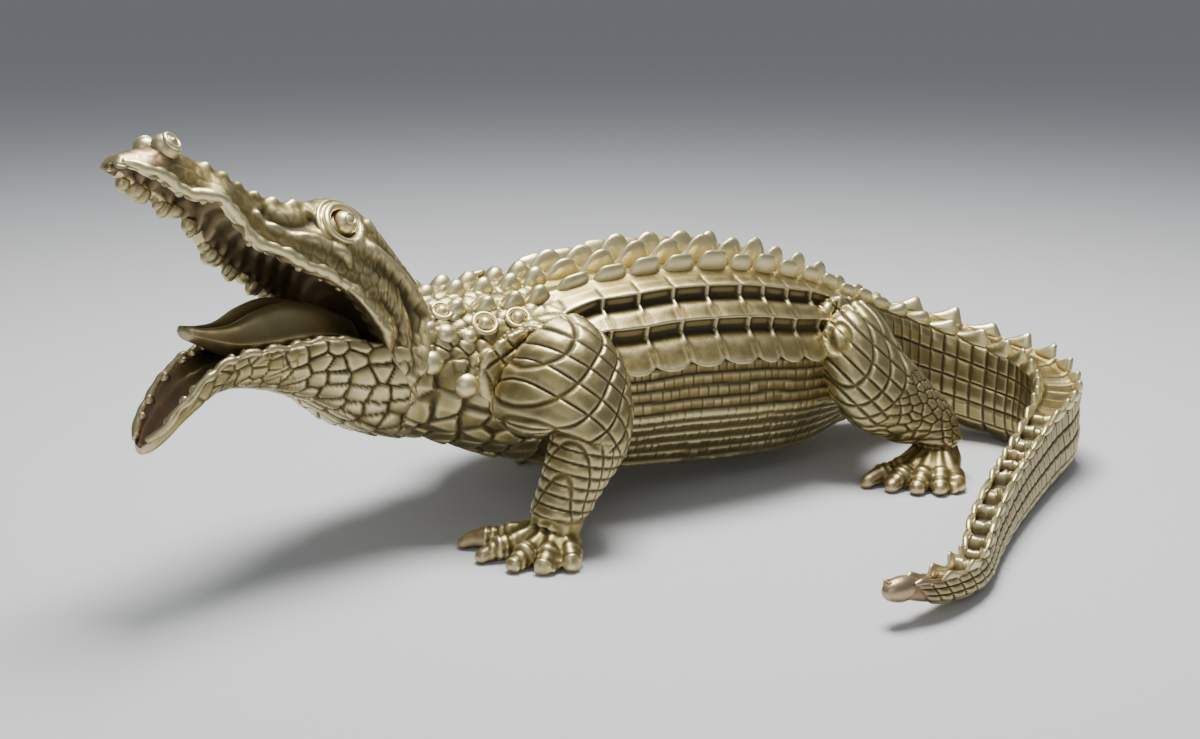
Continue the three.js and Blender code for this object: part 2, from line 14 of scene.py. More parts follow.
import bpy
import mathutils
import numpy as np
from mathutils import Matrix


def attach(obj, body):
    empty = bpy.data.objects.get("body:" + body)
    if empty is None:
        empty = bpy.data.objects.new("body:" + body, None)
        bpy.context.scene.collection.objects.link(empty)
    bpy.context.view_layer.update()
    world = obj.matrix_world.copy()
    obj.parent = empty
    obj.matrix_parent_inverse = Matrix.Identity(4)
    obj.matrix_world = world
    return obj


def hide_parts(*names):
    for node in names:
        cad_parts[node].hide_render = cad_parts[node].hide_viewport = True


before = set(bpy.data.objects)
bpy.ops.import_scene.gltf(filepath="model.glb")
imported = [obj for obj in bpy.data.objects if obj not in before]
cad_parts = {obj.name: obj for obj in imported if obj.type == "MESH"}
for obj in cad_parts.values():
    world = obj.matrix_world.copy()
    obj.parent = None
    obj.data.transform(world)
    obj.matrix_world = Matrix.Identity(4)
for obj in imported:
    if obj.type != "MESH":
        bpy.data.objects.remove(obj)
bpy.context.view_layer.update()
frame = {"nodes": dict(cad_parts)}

log = logging.getLogger("crocodile")
Array = np.ndarray

MM = 0.001
FRAME_SHIFT = np.array([22.8, 46.45, 0.0])
BODY = "root"
NODE = "crocodile"

# Spine, from the nape to the tail's tip: x, y, height of the back, height of the belly, half width, form
# (-1 is neck, 0 is trunk, 1 is the tail's root, 2 its blade), and lean: how far the belly stands out to the
# right of the back.
SPINE = np.array([
    [-128, -4, 95, 44, 27, -1, 0], [-98, -1, 94, 31, 37, -1, 0], [-72, 0, 93.5, 22.5, 43.5, -0.6, 0],
    [-44, 0, 96.5, 16, 48, 0, 0], [-8, 0, 98, 12, 49, 0, 0], [28, 0, 95.5, 9.5, 48.5, 0, 0],
    [60, 0, 88.5, 9.5, 44, 0, 0], [88, 2.5, 77.5, 13, 33, 0.3, 0], [116, 4.5, 67, 16, 23.5, 0.75, 0],
    [141, -1, 59.5, 11, 18, 1, 0], [159.5, -16, 52.5, 6.5, 15, 1, 0], [171.5, -36.5, 46.5, 2.6, 12.8, 1.4, 0.5],
    [174.5, -56.5, 42.5, 1.2, 10.8, 2, 0.5], [165.5, -76.5, 37.5, 1.2, 9.3, 2, 1],
    [131.6, -98.2, 31, 1.4, 6.2, 2, 3.2], [92, -123, 24, 1.4, 5.2, 2, 3.4], [58.5, -146.6, 18, 1.6, 5.2, 2, 2.8],
    [34, -166.5, 13.6, 2.4, 5.1, 1.5, 1.5], [14, -175, 14, 4.4, 4.8, 1, 0], [-2, -176.5, 15.4, 8, 4, 1, 0],
    [-12, -175, 16.4, 12.4, 2, 1, 0],
], float)

# Half sections as shares of the half width and of the height, from the middle of the back to the belly.
NECK_SECTION = np.array([[0, 1], [0.16, 1], [0.32, 0.97], [0.46, 0.93], [0.6, 0.87], [0.72, 0.8], [0.8, 0.73],
                         [0.9, 0.62], [0.96, 0.52], [1, 0.42], [0.97, 0.3], [0.86, 0.16], [0.5, 0.03], [0, 0]])
TRUNK_SECTION = np.array([[0, 0.985], [0.15, 1], [0.27, 0.965], [0.42, 0.99], [0.56, 0.945], [0.67, 0.925],
                          [0.655, 0.872], [0.84, 0.785], [0.81, 0.733], [1, 0.61], [0.9, 0.585], [0.945, 0.33],
                          [0.66, 0.06], [0, 0]])
TAIL_SECTION = np.array([[0, 0.96], [0.4, 0.965], [0.52, 0.985], [0.64, 1], [0.78, 0.95], [0.86, 0.86],
                         [0.9, 0.75], [0.94, 0.64], [0.98, 0.53], [1, 0.42], [0.98, 0.3], [0.88, 0.17],
                         [0.5, 0.03], [0, 0]])
BLADE_SECTION = np.array([[0, 0.93], [0.5, 0.935], [0.72, 0.96], [0.9, 1], [0.98, 0.96], [0.96, 0.87],
                          [0.94, 0.76], [0.95, 0.64], [0.98, 0.53], [1, 0.42], [0.98, 0.3], [0.88, 0.17],
                          [0.5, 0.03], [0, 0]])
SECTIONS = np.stack([NECK_SECTION, TRUNK_SECTION, TAIL_SECTION, BLADE_SECTION])

# Bands of the armour along the spine, front to back: how many, and how long each is.
ARMOUR_START = 68.0
BANDS = [(5, 16.4), (4, 12.6), (3, 12.5), (2, 13), (1, 16), (1, 15), (1, 17), (1, 13.5), (1, 11), (1, 10.5),
         (1, 8.5), (1, 7.5), (2, 9), (3, 14.5), (2, 9.3), (1, 12), (1, 18.5), (3, 12.3), (1, 8.5), (1, 13.5),
         (1, 14), (1, 11.5)]
BAND_EDGES = ARMOUR_START + np.cumsum([0.0] + [length for count, length in BANDS for _ in range(count)])
TOOTH_PEAK = 0.66

# How far the keels stand up along the spine: distance from the nape, inner keels, outer keels or teeth, rungs.
KEELS = np.array([
    [0, 0, 0, 0], [60, 3, 2, 0], [80, 7, 4.5, 0], [125, 10, 6.5, 0], [180, 10, 6.5, 0], [200, 10.5, 5.5, 0],
    [220, 9, 4.5, 0], [245, 5, 4, 0], [262, 0, 5, 0], [275, 0, 6, 0], [335, 0, 6.5, 0], [355, 0, 4.5, 0],
    [385, 0, 3, 1.5], [420, 0, 1.2, 3.5], [510, 0, 1.2, 3.5], [522, 3, 4.5, 3.5], [548, 2, 3, 2], [560, 0, 0, 0],
], float)

# Skull and upper jaw: along, half width, height of the top, of the lip, and how far the palate arches.
SKULL = np.array([
    [-16, 24, 24, -18, 3], [0, 27, 31, -14, 4], [15, 27, 35, -7, 6], [30, 25.5, 38, 1, 8],
    [41, 23.5, 40.5, 4.6, 9], [52, 21.5, 38, 4.2, 9], [62, 20, 30.6, 3.2, 8], [72, 17.2, 24.6, 2.5, 7.5],
    [82, 13.8, 21.4, 2.4, 7], [90, 12.6, 20, 5.6, 5], [99, 13.8, 19.2, 7.2, 5], [107, 10.8, 18.8, 4.4, 5],
    [116, 9, 17.6, 3.6, 5], [124, 9.4, 14.4, 2.6, 4], [130, 7.8, 10, 2, 3], [135.5, 4, 4.2, 0.4, 1.5],
], float)
SKULL_SIDE = [[0, 0.97], [0.36, 1], [0.62, 0.88], [0.84, 0.64], [1.02, 0.24], [0.98, 0]]
PALATE = [[0.8, 0], [0.5, 0.8], [0, 1]]

# Lower jaw and throat: along, half width, height of the rim, of the underside, and depth of the trough.
JAW = np.array([
    [-14, 27, 4, -36, 1], [4, 26.5, 8, -30.5, 2], [20, 24, 12.5, -23, 4], [36, 20, 16.8, -9, 6],
    [52, 17, 17.2, -0.8, 7], [66, 14, 17.7, 4, 6.5], [75, 11.8, 16.6, 5.4, 6], [82, 11.7, 14, 4, 5],
    [88, 11.4, 10.2, 1, 4.5], [94, 10.4, 5.6, -2.5, 4], [100, 8.4, 0, -7, 3.5], [104, 5.6, -4, -9.6, 3],
    [106.5, 2.6, -6.6, -10.2, 1],
], float)
JAW_SIDE = [[0.8, 0], [1, 0], [1.04, -0.25], [0.98, -0.55], [0.6, -0.93], [0, -1]]
TROUGH = [[0, 1], [0.55, 0.85]]
TONGUE = np.array([
    [16, 12, 19, 6], [31, 14, 27, 7], [45, 14.4, 31, 8], [57, 12.6, 30.2, 10], [68, 9.6, 27.4, 15],
    [77, 7.4, 28, 20.5], [84, 4.4, 29.8, 24.8],
], float)
TONGUE_HALF = [[0, 0.84], [0.34, 1], [0.7, 0.92], [0.97, 0.6], [1, 0.45], [0.66, 0.12], [0, 0]]

# Limbs: the middle line from inside the body to the ankle, each point with its radius in the plane of the
# limb's bend and across it; then the ankle on the ground and the toes' tips.
FRONT_LIMB = np.array([
    [-72, -26, 64, 24, 18], [-73, -40, 66, 26, 16], [-66, -52, 57, 23.5, 14.5], [-63.5, -59, 45, 16.2, 14],
    [-70.5, -61, 31, 12.2, 12], [-76, -61, 20, 10.4, 10.6], [-80, -61.5, 10, 10, 11],
], float)
HIND_LIMB = np.array([
    [78, -18, 60, 15, 14], [80, -34, 62, 16.5, 13], [80, -43, 53, 18.5, 13], [84, -50, 41, 19, 13],
    [96, -55, 31.5, 15.5, 12], [107, -59, 24, 11, 10.4], [111, -61, 14, 9.6, 10],
], float)
FRONT_TOES = [(-110.5, -40), (-111, -57.5), (-104.5, -72.5), (-95.5, -80.5), (-84, -83.5)]
HIND_TOES = [(70, -61), (75.5, -71), (83, -79.5), (91.5, -85.5), (101.5, -86)]
PALM = np.array([[-0.25, 0.2, 9], [0, 0.34, 17], [0.3, 0.5, 13.4], [0.55, 0.66, 10], [0.76, 0.74, 6.4]])
PALM_WAIST = 0.36
TOE = np.array([[0.4, 7, 0.9], [0.82, 4, 1], [1.02, 2.8, 0.42]])
STEP_FADE = (15.0, 70.0)


class Side(Enum):
    """The animal's own sides; the value is the sign of its outward direction from the spine."""

    LEFT = 1
    RIGHT = -1


def ease(start: float, end: float, x: Array) -> Array:
    """Smooth step: 0 before start, 1 past end, and 3t^2 - 2t^3 between them.

    Args:
        start: Where the step begins.
        end: Where it ends; it may lie before start.
        x: Values to look up.

    Returns:
        Shares from 0 to 1, in the shape of x.
    """
    t = np.clip((x - start) / (end - start), 0.0, 1.0)
    return t * t * (3.0 - 2.0 * t)


def hump(start: float, end: float, soft: float, x: Array) -> Array:
    """A plateau from start to end whose flanks rise and fall over the soft width inside it."""
    return ease(start, start + soft, x) * ease(end, end - soft, x)


def spline(rows: Array, key: Array) -> Array:
    """Smooth curve through rows whose first number is the key.

    Each piece is the cubic whose slope at a row is the line from the row before to the row after.

    Args:
        rows: Table, one row for each place.
        key: Keys to look up, in any shape.

    Returns:
        The other columns' values, with the key's shape first.
    """
    keys, values = rows[:, 0], rows[:, 1:]
    last = len(keys) - 1
    k = np.clip(np.asarray(key, float), keys[0], keys[last])
    i = np.searchsorted(keys[1:-1], k, side="left")
    before = np.maximum(np.arange(last + 1) - 1, 0)
    after = np.minimum(np.arange(last + 1) + 1, last)
    slope = (values[after] - values[before]) / (keys[after] - keys[before])[:, None]
    width = (keys[i + 1] - keys[i])[..., None]
    t = (k[..., None] - keys[i][..., None]) / width
    return ((1 + 2 * t) * (1 - t) ** 2 * values[i] + t * t * (3 - 2 * t) * values[i + 1]
            + width * (t * (1 - t) ** 2 * slope[i] + t * t * (t - 1) * slope[i + 1]))


def numbered(points: Sequence[Sequence[float]]) -> Array:
    """Points with their own number in front, so that the spline can run through them."""
    table = np.asarray(points, float)
    return np.column_stack([np.arange(len(table)), table])


def smooth_path(points: Sequence[Sequence[float]], count: int) -> Array:
    """Evenly numbered points of the smooth curve through a few given ones."""
    return spline(numbered(points), np.linspace(0, len(points) - 1, count))


def chance(i: Array, j: Array, seed: float) -> Array:
    """A fixed pseudo-random share for each pair of whole numbers: the fraction of a large sine."""
    return np.abs(np.modf(np.sin(i * 12.9898 + j * 78.233 + seed * 37.719) * 43758.5453)[0])


def drift(u: Array, v: Array, seed: float) -> Array:
    """Smooth wandering value from -1 to 1: random corner values of unit squares, eased between them."""
    i, j = np.floor(u), np.floor(v)
    a, b = ease(0, 1, u - i), ease(0, 1, v - j)
    low = chance(i, j, seed) * (1 - a) + chance(i + 1, j, seed) * a
    high = chance(i, j + 1, seed) * (1 - a) + chance(i + 1, j + 1, seed) * a
    return 2 * (low * (1 - b) + high * b) - 1


def pillow(u: Array, v: Array, size: tuple[float, float], groove: float, dome: float) -> Array:
    """Raised cells on unit squares: flat-topped pads with a groove round each and a slight dome.

    Args:
        u: Place along the rows, in cells.
        v: Place across the rows, in cells.
        size: One cell's length and width, in mm.
        groove: Half the width of the groove between cells, in mm.
        dome: How much of the height is a dome, 0 to 1.

    Returns:
        Height from 0 in the groove to 1 on the pad.
    """
    a, b = u - np.floor(u), v - np.floor(v)
    edge = np.minimum(np.minimum(a, 1 - a) * size[0], np.minimum(b, 1 - b) * size[1])
    crown = (1 - (2 * a - 1) ** 2) * (1 - (2 * b - 1) ** 2)
    return ease(0, groove, edge) * (1 - dome + dome * crown)


@dataclass
class Pebbles:
    """Irregular cells round jittered points of a unit grid."""

    near: Array
    gap: Array
    along: Array
    pick: Array


def pebbles(u: Array, v: Array, seed: float, jitter: float = 0.75) -> Pebbles:
    """Nearest and second nearest of the points jittered inside unit squares.

    Args:
        u: First coordinate, in cells.
        v: Second coordinate, in cells.
        seed: Which scatter of points.
        jitter: How far the points leave the squares' middles.

    Returns:
        Distance to the nearest point, the gap to the second, the offset along u, and a share per cell.
    """
    base_u, base_v = np.floor(u), np.floor(v)
    near = np.full(u.shape, 9.0)
    second = np.full(u.shape, 9.0)
    along = np.zeros(u.shape)
    pick = np.zeros(u.shape)
    for step_u in (-1, 0, 1):
        for step_v in (-1, 0, 1):
            cu, cv = base_u + step_u, base_v + step_v
            off_u = u - cu - 0.5 - jitter * (chance(cu, cv, seed) - 0.5)
            off_v = v - cv - 0.5 - jitter * (chance(cu, cv, seed + 5) - 0.5)
            away = np.hypot(off_u, off_v)
            closer = away < near
            second = np.where(closer, near, np.minimum(second, away))
            along = np.where(closer, off_u, along)
            pick = np.where(closer, chance(cu, cv, seed + 9), pick)
            near = np.where(closer, away, near)
    return Pebbles(near, second - near, along, pick)


def distance_to_line(points: Array, line: Array) -> tuple[Array, Array]:
    """Distance from each point to a line of short straight pieces.

    Args:
        points: Points, one row each.
        line: The line's points in order.

    Returns:
        The distance, and how far along the line the nearest place is, from 0 to 1.
    """
    best = np.full(len(points), 1e9)
    share = np.zeros(len(points))
    for i, (a, b) in enumerate(zip(line[:-1], line[1:])):
        t = np.clip((points - a) @ (b - a) / max((b - a) @ (b - a), 1e-9), 0, 1)
        away = np.linalg.norm(points - a - t[:, None] * (b - a), axis=1)
        share = np.where(away < best, (i + t) / (len(line) - 1), share)
        best = np.minimum(best, away)
    return best, share


def unit(vectors: Array) -> Array:
    """Vectors scaled to length one."""
    return vectors / np.maximum(np.linalg.norm(vectors, axis=-1, keepdims=True), 1e-12)


@dataclass
class Shell:
    """One closed skin: points in mm, quads, triangles, and how worn, how warm and how deep in painted shade each point
    is.
    """

    points: Array
    quads: Array
    tris: Array
    worn: Array
    warm: Array
    # dark: share of painted shade, mixed with patina, in recesses, pits, the mouth and under the claws
    dark: Array


def shell_of_rings(rings: Array, worn: Array | float = 0.5, warm: Array | float = 0.0,
                   dark: Array | float = 0.0, loop: bool = False) -> Shell:
    """A closed skin over rings of points, capped at both ends by a fan round each end ring's middle.

    Args:
        rings: Points, rings by places round the ring by three.
        worn: Share of bright worn metal, one value or one for each point of the rings.
        warm: Share of reddish metal, in the same way.
        dark: Share of painted shade mixed with dark patina, in the same way.
        loop: True where the last ring joins the first, as on a torus.

    Returns:
        The skin, facing outward.
    """
    n, m, _ = rings.shape
    grid = np.arange(n * m).reshape(n, m)
    ahead = np.roll(grid, -1, axis=1)
    front, back = (grid, np.roll(grid, -1, axis=0)) if loop else (grid[:-1], grid[1:])
    front_ahead, back_ahead = (ahead, np.roll(ahead, -1, axis=0)) if loop else (ahead[:-1], ahead[1:])
    quads = np.stack([front, front_ahead, back_ahead, back], axis=-1).reshape(-1, 4)
    points = rings.reshape(-1, 3)
    extra = [np.broadcast_to(value, (n, m)).reshape(-1) for value in (worn, warm, dark)]
    tris = np.zeros((0, 3), int)
    if not loop:
        points = np.vstack([points, rings[0].mean(0), rings[-1].mean(0)])
        start, end = n * m, n * m + 1
        first = np.stack([np.full(m, start), ahead[0], grid[0]], axis=-1)
        last = np.stack([np.full(m, end), grid[-1], ahead[-1]], axis=-1)
        tris = np.vstack([first, last])
        extra = [np.concatenate([v, [v[:m].mean(), v[-m:].mean()]]) for v in extra]
    return outward(Shell(points, quads, tris, *extra))


def outward(shell: Shell) -> Shell:
    """Turns a skin right side out: the volume summed over its faces has to be positive."""
    p = shell.points
    corners = np.vstack([shell.quads[:, [0, 1, 2]], shell.quads[:, [0, 2, 3]], shell.tris])
    volume = np.einsum("ij,ij->", p[corners[:, 0]], np.cross(p[corners[:, 1]], p[corners[:, 2]]))
    if volume < 0:
        shell.quads = shell.quads[:, ::-1]
        shell.tris = shell.tris[:, ::-1]
    return shell


def merged(shells: Sequence[Shell]) -> Shell:
    """Several skins in one list of points and faces."""
    starts = np.cumsum([0] + [len(s.points) for s in shells[:-1]])
    return Shell(
        np.vstack([s.points for s in shells]),
        np.vstack([s.quads + start for s, start in zip(shells, starts)]),
        np.vstack([s.tris + start for s, start in zip(shells, starts)]),
        np.concatenate([s.worn for s in shells]),
        np.concatenate([s.warm for s in shells]),
        np.concatenate([s.dark for s in shells]),
    )


def ring_normals(rings: Array) -> Array:
    """Outward normals of a grid of closed rings: the cross product of its two directions of travel."""
    round_ring = np.roll(rings, -1, axis=1) - np.roll(rings, 1, axis=1)
    along = np.gradient(rings, axis=0)
    normals = unit(np.cross(round_ring, along))
    middle = rings.mean(axis=1, keepdims=True)
    if np.einsum("ijk,ijk->", normals, rings - middle) < 0:
        normals = -normals
    return normals


def rope(path: Array, radius: Array, sides: int = 12, flat: float = 1.0, closed: bool = False,
         worn: float = 0.7, warm: float = 0.0, dark: float = 0.0) -> Shell:
    """A round cord of varying thickness along a path.

    Args:
        path: Points of the middle line.
        radius: Thickness at each point, as a radius in mm.
        sides: Facets round the cord.
        flat: Height of the section as a share of its width.
        closed: True where the path is a loop.
        worn: Share of bright worn metal.
        warm: Share of reddish metal.
        dark: Share of painted shade mixed with dark patina.

    Returns:
        The cord with rounded ends.
    """
    if closed:
        along = unit(np.roll(path, -1, axis=0) - np.roll(path, 1, axis=0))
    else:
        along = unit(np.gradient(path, axis=0))
    lift = np.tile([0.13, 0.21, 0.97], (len(path), 1))
    side = unit(np.cross(along, lift))
    up = np.cross(side, along)
    angle = np.linspace(0, 2 * np.pi, sides, endpoint=False)[None, :, None]
    thick = np.asarray(radius)[:, None, None]
    rings = path[:, None] + thick * (side[:, None] * np.cos(angle) + flat * up[:, None] * np.sin(angle))
    return shell_of_rings(rings, worn, warm, dark, loop=closed)


def egg(centre: Array, axes: Array, radii: Sequence[float], facets: tuple[int, int] = (20, 12),
        worn: float = 0.6, warm: float = 0.0, dark: float = 0.0) -> Shell:
    """A ball stretched along three axes, its poles on the third.

    Args:
        centre: Its middle.
        axes: Three unit vectors, one row each.
        radii: Half lengths along the axes.
        facets: Facets round it and from pole to pole.
        worn: Share of bright worn metal.
        warm: Share of reddish metal.
        dark: Share of painted shade mixed with dark patina.

    Returns:
        The closed ball.
    """
    around = np.linspace(0, 2 * np.pi, facets[0], endpoint=False)[None, :]
    rise = np.linspace(-np.pi / 2 + 0.12, np.pi / 2 - 0.12, facets[1])[:, None]
    local = np.stack([np.cos(rise) * np.cos(around) * radii[0], np.cos(rise) * np.sin(around) * radii[1],
                      np.sin(rise) * np.ones_like(around) * radii[2]], axis=-1)
    return shell_of_rings(centre + local @ np.asarray(axes), worn, warm, dark)


def measured(rows: Array) -> Array:
    """The spine's rows keyed by their distance from the nape along the ground plan."""
    steps = np.hypot(np.diff(rows[:, 0]), np.diff(rows[:, 1]))
    return np.column_stack([np.concatenate([[0.0], np.cumsum(steps)]), rows])


@dataclass
class Bands:
    """The armour's cross bands along the spine."""

    edges: Array = field(default_factory=lambda: BAND_EDGES)

    def find(self, distance: Array) -> tuple[Array, Array, Array]:
        """Which band a place is in.

        Args:
            distance: Distances from the nape.

        Returns:
            The band's number, the share of the band passed, and the band's length.
        """
        i = np.clip(np.searchsorted(self.edges, distance, side="right") - 1, 0, len(self.edges) - 2)
        length = self.edges[i + 1] - self.edges[i]
        return i, np.clip((distance - self.edges[i]) / length, 0, 1), length


@dataclass
class Spine:
    """The skin of neck, trunk and tail before its relief: half sections carried along the spine."""

    rows: Array = field(default_factory=lambda: measured(SPINE))

    @property
    def length(self) -> float:
        """Distance from the nape to the tail's tip."""
        return float(self.rows[-1, 0])

    def half_section(self, distance: Array, place: Array) -> tuple[Array, Array]:
        """Outward and upward coordinates of the section's left half.

        The four drawn sections are mixed by form, then stretched to the half width and between belly and
        back; between the drawn corners the line is straight.

        Args:
            distance: Distances from the nape, n of them.
            place: Places round the half section in corners from 0 on the back to 13 on the belly, m of them.

        Returns:
            Two n by m grids.
        """
        values = spline(self.rows, distance)
        top, bottom, half, form = (values[:, k] for k in (2, 3, 4, 5))
        corner = np.arange(SECTIONS.shape[1])
        drawn = np.stack([[np.interp(place, corner, section[:, c]) for c in (0, 1)] for section in SECTIONS])
        first = np.clip(np.floor(form + 1), 0, len(SECTIONS) - 2).astype(int)
        share = np.clip(form + 1 - first, 0, 1)[:, None]
        out = drawn[first, 0] * (1 - share) + drawn[first + 1, 0] * share
        up = drawn[first, 1] * (1 - share) + drawn[first + 1, 1] * share
        return half[:, None] * out, bottom[:, None] + (top - bottom)[:, None] * up

    def left(self, distance: Array) -> Array:
        """Unit vectors on the ground towards the animal's left."""
        ahead = spline(self.rows, np.minimum(distance + 1, self.length))
        behind = spline(self.rows, np.maximum(distance - 1, 0))
        return unit(np.stack([ahead[..., 1] - behind[..., 1], behind[..., 0] - ahead[..., 0]], axis=-1))

    def place(self, distance: Array, out: Array, up: Array, side: int) -> Array:
        """Points of the skin from outward and upward coordinates.

        Args:
            distance: Distances from the nape, n of them.
            out: Outward coordinates, n by m.
            up: Heights, n by m.
            side: 1 on the animal's left and -1 on its right.

        Returns:
            n by m points.
        """
        values = spline(self.rows, distance)
        x, y, top, bottom, lean = (values[:, k][:, None] for k in (0, 1, 2, 3, 6))
        left = self.left(distance)
        across = side * out - lean * (top - up) / (top - bottom)
        return np.stack([x + across * left[:, :1], y + across * left[:, 1:], up + 0 * across], axis=-1)

    def seat(self, distance: float, corner: float, side: int) -> tuple[Array, Array, Array]:
        """Where an ornament stands on the skin.

        Args:
            distance: Distance from the nape.
            corner: Place round the half section.
            side: 1 on the animal's left and -1 on its right.

        Returns:
            The point, the outward normal, and the direction towards the tail.
        """
        d = np.clip(np.array([distance - 1, distance, distance + 1]), 0, self.length)
        c = np.array([corner - 0.15, corner, corner + 0.15])
        out, up = self.half_section(d, c)
        p = self.place(d, np.abs(out), up, side)
        back = unit(p[2, 1] - p[0, 1])
        normal = unit(np.cross(p[1, 2] - p[1, 0], back)) * side
        return p[1, 1], normal, back

    def flank_gap(self, points: Array) -> Array:
        """How far points stand outside the trunk, measured level across it.

        Args:
            points: Points beside the straight part of the body.

        Returns:
            Distances in mm, below zero inside.
        """
        reach = np.linspace(0, 290, 146)
        place = np.linspace(0, 13, 131)
        out, up = self.half_section(reach, place)
        heights = np.linspace(0, 110, 111)
        wide = np.stack([np.interp(heights, u[::-1], o[::-1], left=0, right=0) for o, u in zip(out, up)])
        values = spline(self.rows, reach)
        d = np.interp(points[:, 0], values[:, 0], reach)
        i = np.clip(np.round(d / 2).astype(int), 0, len(reach) - 1)
        j = np.clip(np.round(points[:, 2]).astype(int), 0, len(heights) - 1)
        middle = np.interp(points[:, 0], values[:, 0], values[:, 1])
        return np.abs(points[:, 1] - middle) - wide[i, j]


def corner_places(lengths: Sequence[float], pitch: float) -> Array:
    """Places round a half section: each side of it is cut into pieces of about the pitch.

    Args:
        lengths: Length of each side of the section in mm.
        pitch: Wanted length of a piece in mm.

    Returns:
        Places from 0 to the number of sides.
    """
    parts = [i + np.arange(n) / n for i, n in enumerate(max(1, math.ceil(length / pitch)) for length in lengths)]
    return np.append(np.concatenate(parts), float(len(lengths)))


@dataclass
class Limb:
    """A leg: its middle line, its foot, and which side it stands on."""

    name: str
    line: Array
    toes: list[tuple[float, float]]
    heel: tuple[float, float]
    toe_radius: float
    foot_high: float
    foot_wide: float
    side: Side
    step: float
    hind: bool
    voxel: float

    def place(self, points: Array) -> Array:
        """Mirrors points to the limb's side and steps them back by a share that grows towards the ground."""
        p = np.array(points, float)
        low, high = STEP_FADE
        p[..., 0] += self.step * (1 - np.clip((p[..., 2] - low) / (high - low), 0, 1))
        p[..., 1] *= self.side.value
        return p

    def middle_line(self, count: int) -> tuple[Array, Array]:
        """Points of the middle line and the two radii at each."""
        values = smooth_path(self.line, count)
        return self.place(values[:, :3]), values[:, 3:5]

    def tube_axes(self, path: Array) -> tuple[Array, Array, Array]:
        """Along the path, square to it in the plane of its bend, and square to both."""
        along = unit(np.gradient(path, axis=0))
        in_plane = unit(np.cross([0.0, 1.0, 0.0], along))
        return along, in_plane, np.cross(along, in_plane)

    def tube(self, path: Array, radii: Array, sides: int) -> Array:
        """Rings of an oval tube along a path."""
        _, in_plane, side = self.tube_axes(path)
        angle = np.linspace(0, 2 * np.pi, sides, endpoint=False)[None, :, None]
        return (path[:, None] + in_plane[:, None] * radii[:, 0, None, None] * np.cos(angle)
                + side[:, None] * radii[:, 1, None, None] * np.sin(angle))

    def rough_shells(self) -> list[Shell]:
        """The leg, the palm and the toes as overlapping skins."""
        path, radii = self.middle_line(40)
        shells = [shell_of_rings(self.tube(path, radii, 32))]
        heel = self.place([*self.heel, 0.0])
        tips = self.place([[x, y, 0.0] for x, y in self.toes])
        shells.append(self.palm(heel, tips))
        shells.extend(self.toe(heel, tip, i) for i, tip in enumerate(tips))
        return shells

    def palm(self, heel: Array, tips: Array) -> Shell:
        """The palm: sections across the foot that widen and sink from the ankle to the toes' roots."""
        middle = tips.mean(0)
        along = unit(middle - heel)
        across = np.array([-along[1], along[0], 0.0])
        spread = (tips - heel) @ across
        low, high = spread.min(), spread.max()
        reach = np.linalg.norm(middle - heel)
        table = spline(np.column_stack([PALM[:, 0], PALM]), np.linspace(-0.25, 0.76, 16))
        angle = np.linspace(0, 2 * np.pi, 32, endpoint=False)
        rings = []
        for share, width, height in table:
            centre = heel + along * share * reach + across * (low + high) / 2 * max(share, 0)
            half = (high - low) / 2 * width + self.foot_wide
            ring = centre + across * (half * np.cos(angle))[:, None]
            ring[:, 2] = height * self.foot_high * (PALM_WAIST + (1 - PALM_WAIST) * np.sin(angle))
            rings.append(ring)
        return shell_of_rings(np.stack(rings))

    def toe(self, heel: Array, tip: Array, number: int) -> Shell:
        """A toe from the ankle to its blunt claw, with swollen knuckles."""
        share = np.linspace(0.25, 1.03, 22)
        table = spline(TOE, share)
        height = np.where(share < 0.4, 7 + (0.4 - share) * 22, table[:, 0]) + 0.4 * np.sin(share * 17 + number)
        ahead = unit(tip - heel)
        across = np.array([-ahead[1], ahead[0], 0.0])
        bow = 1.4 * np.sin(np.pi * share) * (number - 2)
        path = heel + (tip - heel) * share[:, None] + across * bow[:, None] * 0.5
        path[:, 2] = height
        knuckle = 1 + 0.1 * np.cos((share - 0.72) * 26) * ease(0.4, 0.6, share)
        blunt = np.sqrt(np.clip(1 - np.clip((share - 0.9) / 0.14, 0, 1) ** 2, 0.02, 1))
        width = self.toe_radius * np.clip(table[:, 1], 0.78, 1.1) * knuckle * blunt
        angle = np.linspace(0, 2 * np.pi, 14, endpoint=False)[None, :, None]
        rings = path[:, None] + width[:, None, None] * (across * np.cos(angle)
                                                        + np.array([0, 0, 0.95]) * np.sin(angle))
        return shell_of_rings(rings)


def remesh(shells: Sequence[Shell], voxel: float, passes: int) -> tuple[Array, Array, Array]:
    """Melts overlapping skins into one and smooths the joins.

    Args:
        shells: Closed overlapping skins.
        voxel: Cell of the remesh in mm.
        passes: How many times each point moves towards its neighbours.

    Returns:
        Points, quads and outward normals.
    """
    rough = merged(shells)
    mesh = bpy.data.meshes.new("rough")
    faces = [tuple(f) for f in rough.quads.tolist()] + [tuple(f) for f in rough.tris.tolist()]
    mesh.from_pydata(rough.points.tolist(), [], faces)
    rough_object = bpy.data.objects.new("rough", mesh)
    bpy.context.scene.collection.objects.link(rough_object)
    melt = rough_object.modifiers.new("melt", "REMESH")
    melt.mode = "VOXEL"
    melt.voxel_size = voxel
    calm = rough_object.modifiers.new("calm", "SMOOTH")
    calm.factor = 0.5
    calm.iterations = passes
    whole = bpy.data.meshes.new_from_object(
        rough_object.evaluated_get(bpy.context.evaluated_depsgraph_get()))
    points = np.zeros(len(whole.vertices) * 3, np.float32)
    whole.vertices.foreach_get("co", points)
    normals = np.zeros(len(whole.vertices) * 3, np.float32)
    whole.vertex_normals.foreach_get("vector", normals)
    loops = np.zeros(len(whole.loops), np.int32)
    whole.loops.foreach_get("vertex_index", loops)
    bpy.data.objects.remove(rough_object)
    bpy.data.meshes.remove(mesh)
    bpy.data.meshes.remove(whole)
    return points.reshape(-1, 3).astype(float), loops.reshape(-1, 4).astype(int), normals.reshape(-1, 3).astype(float)


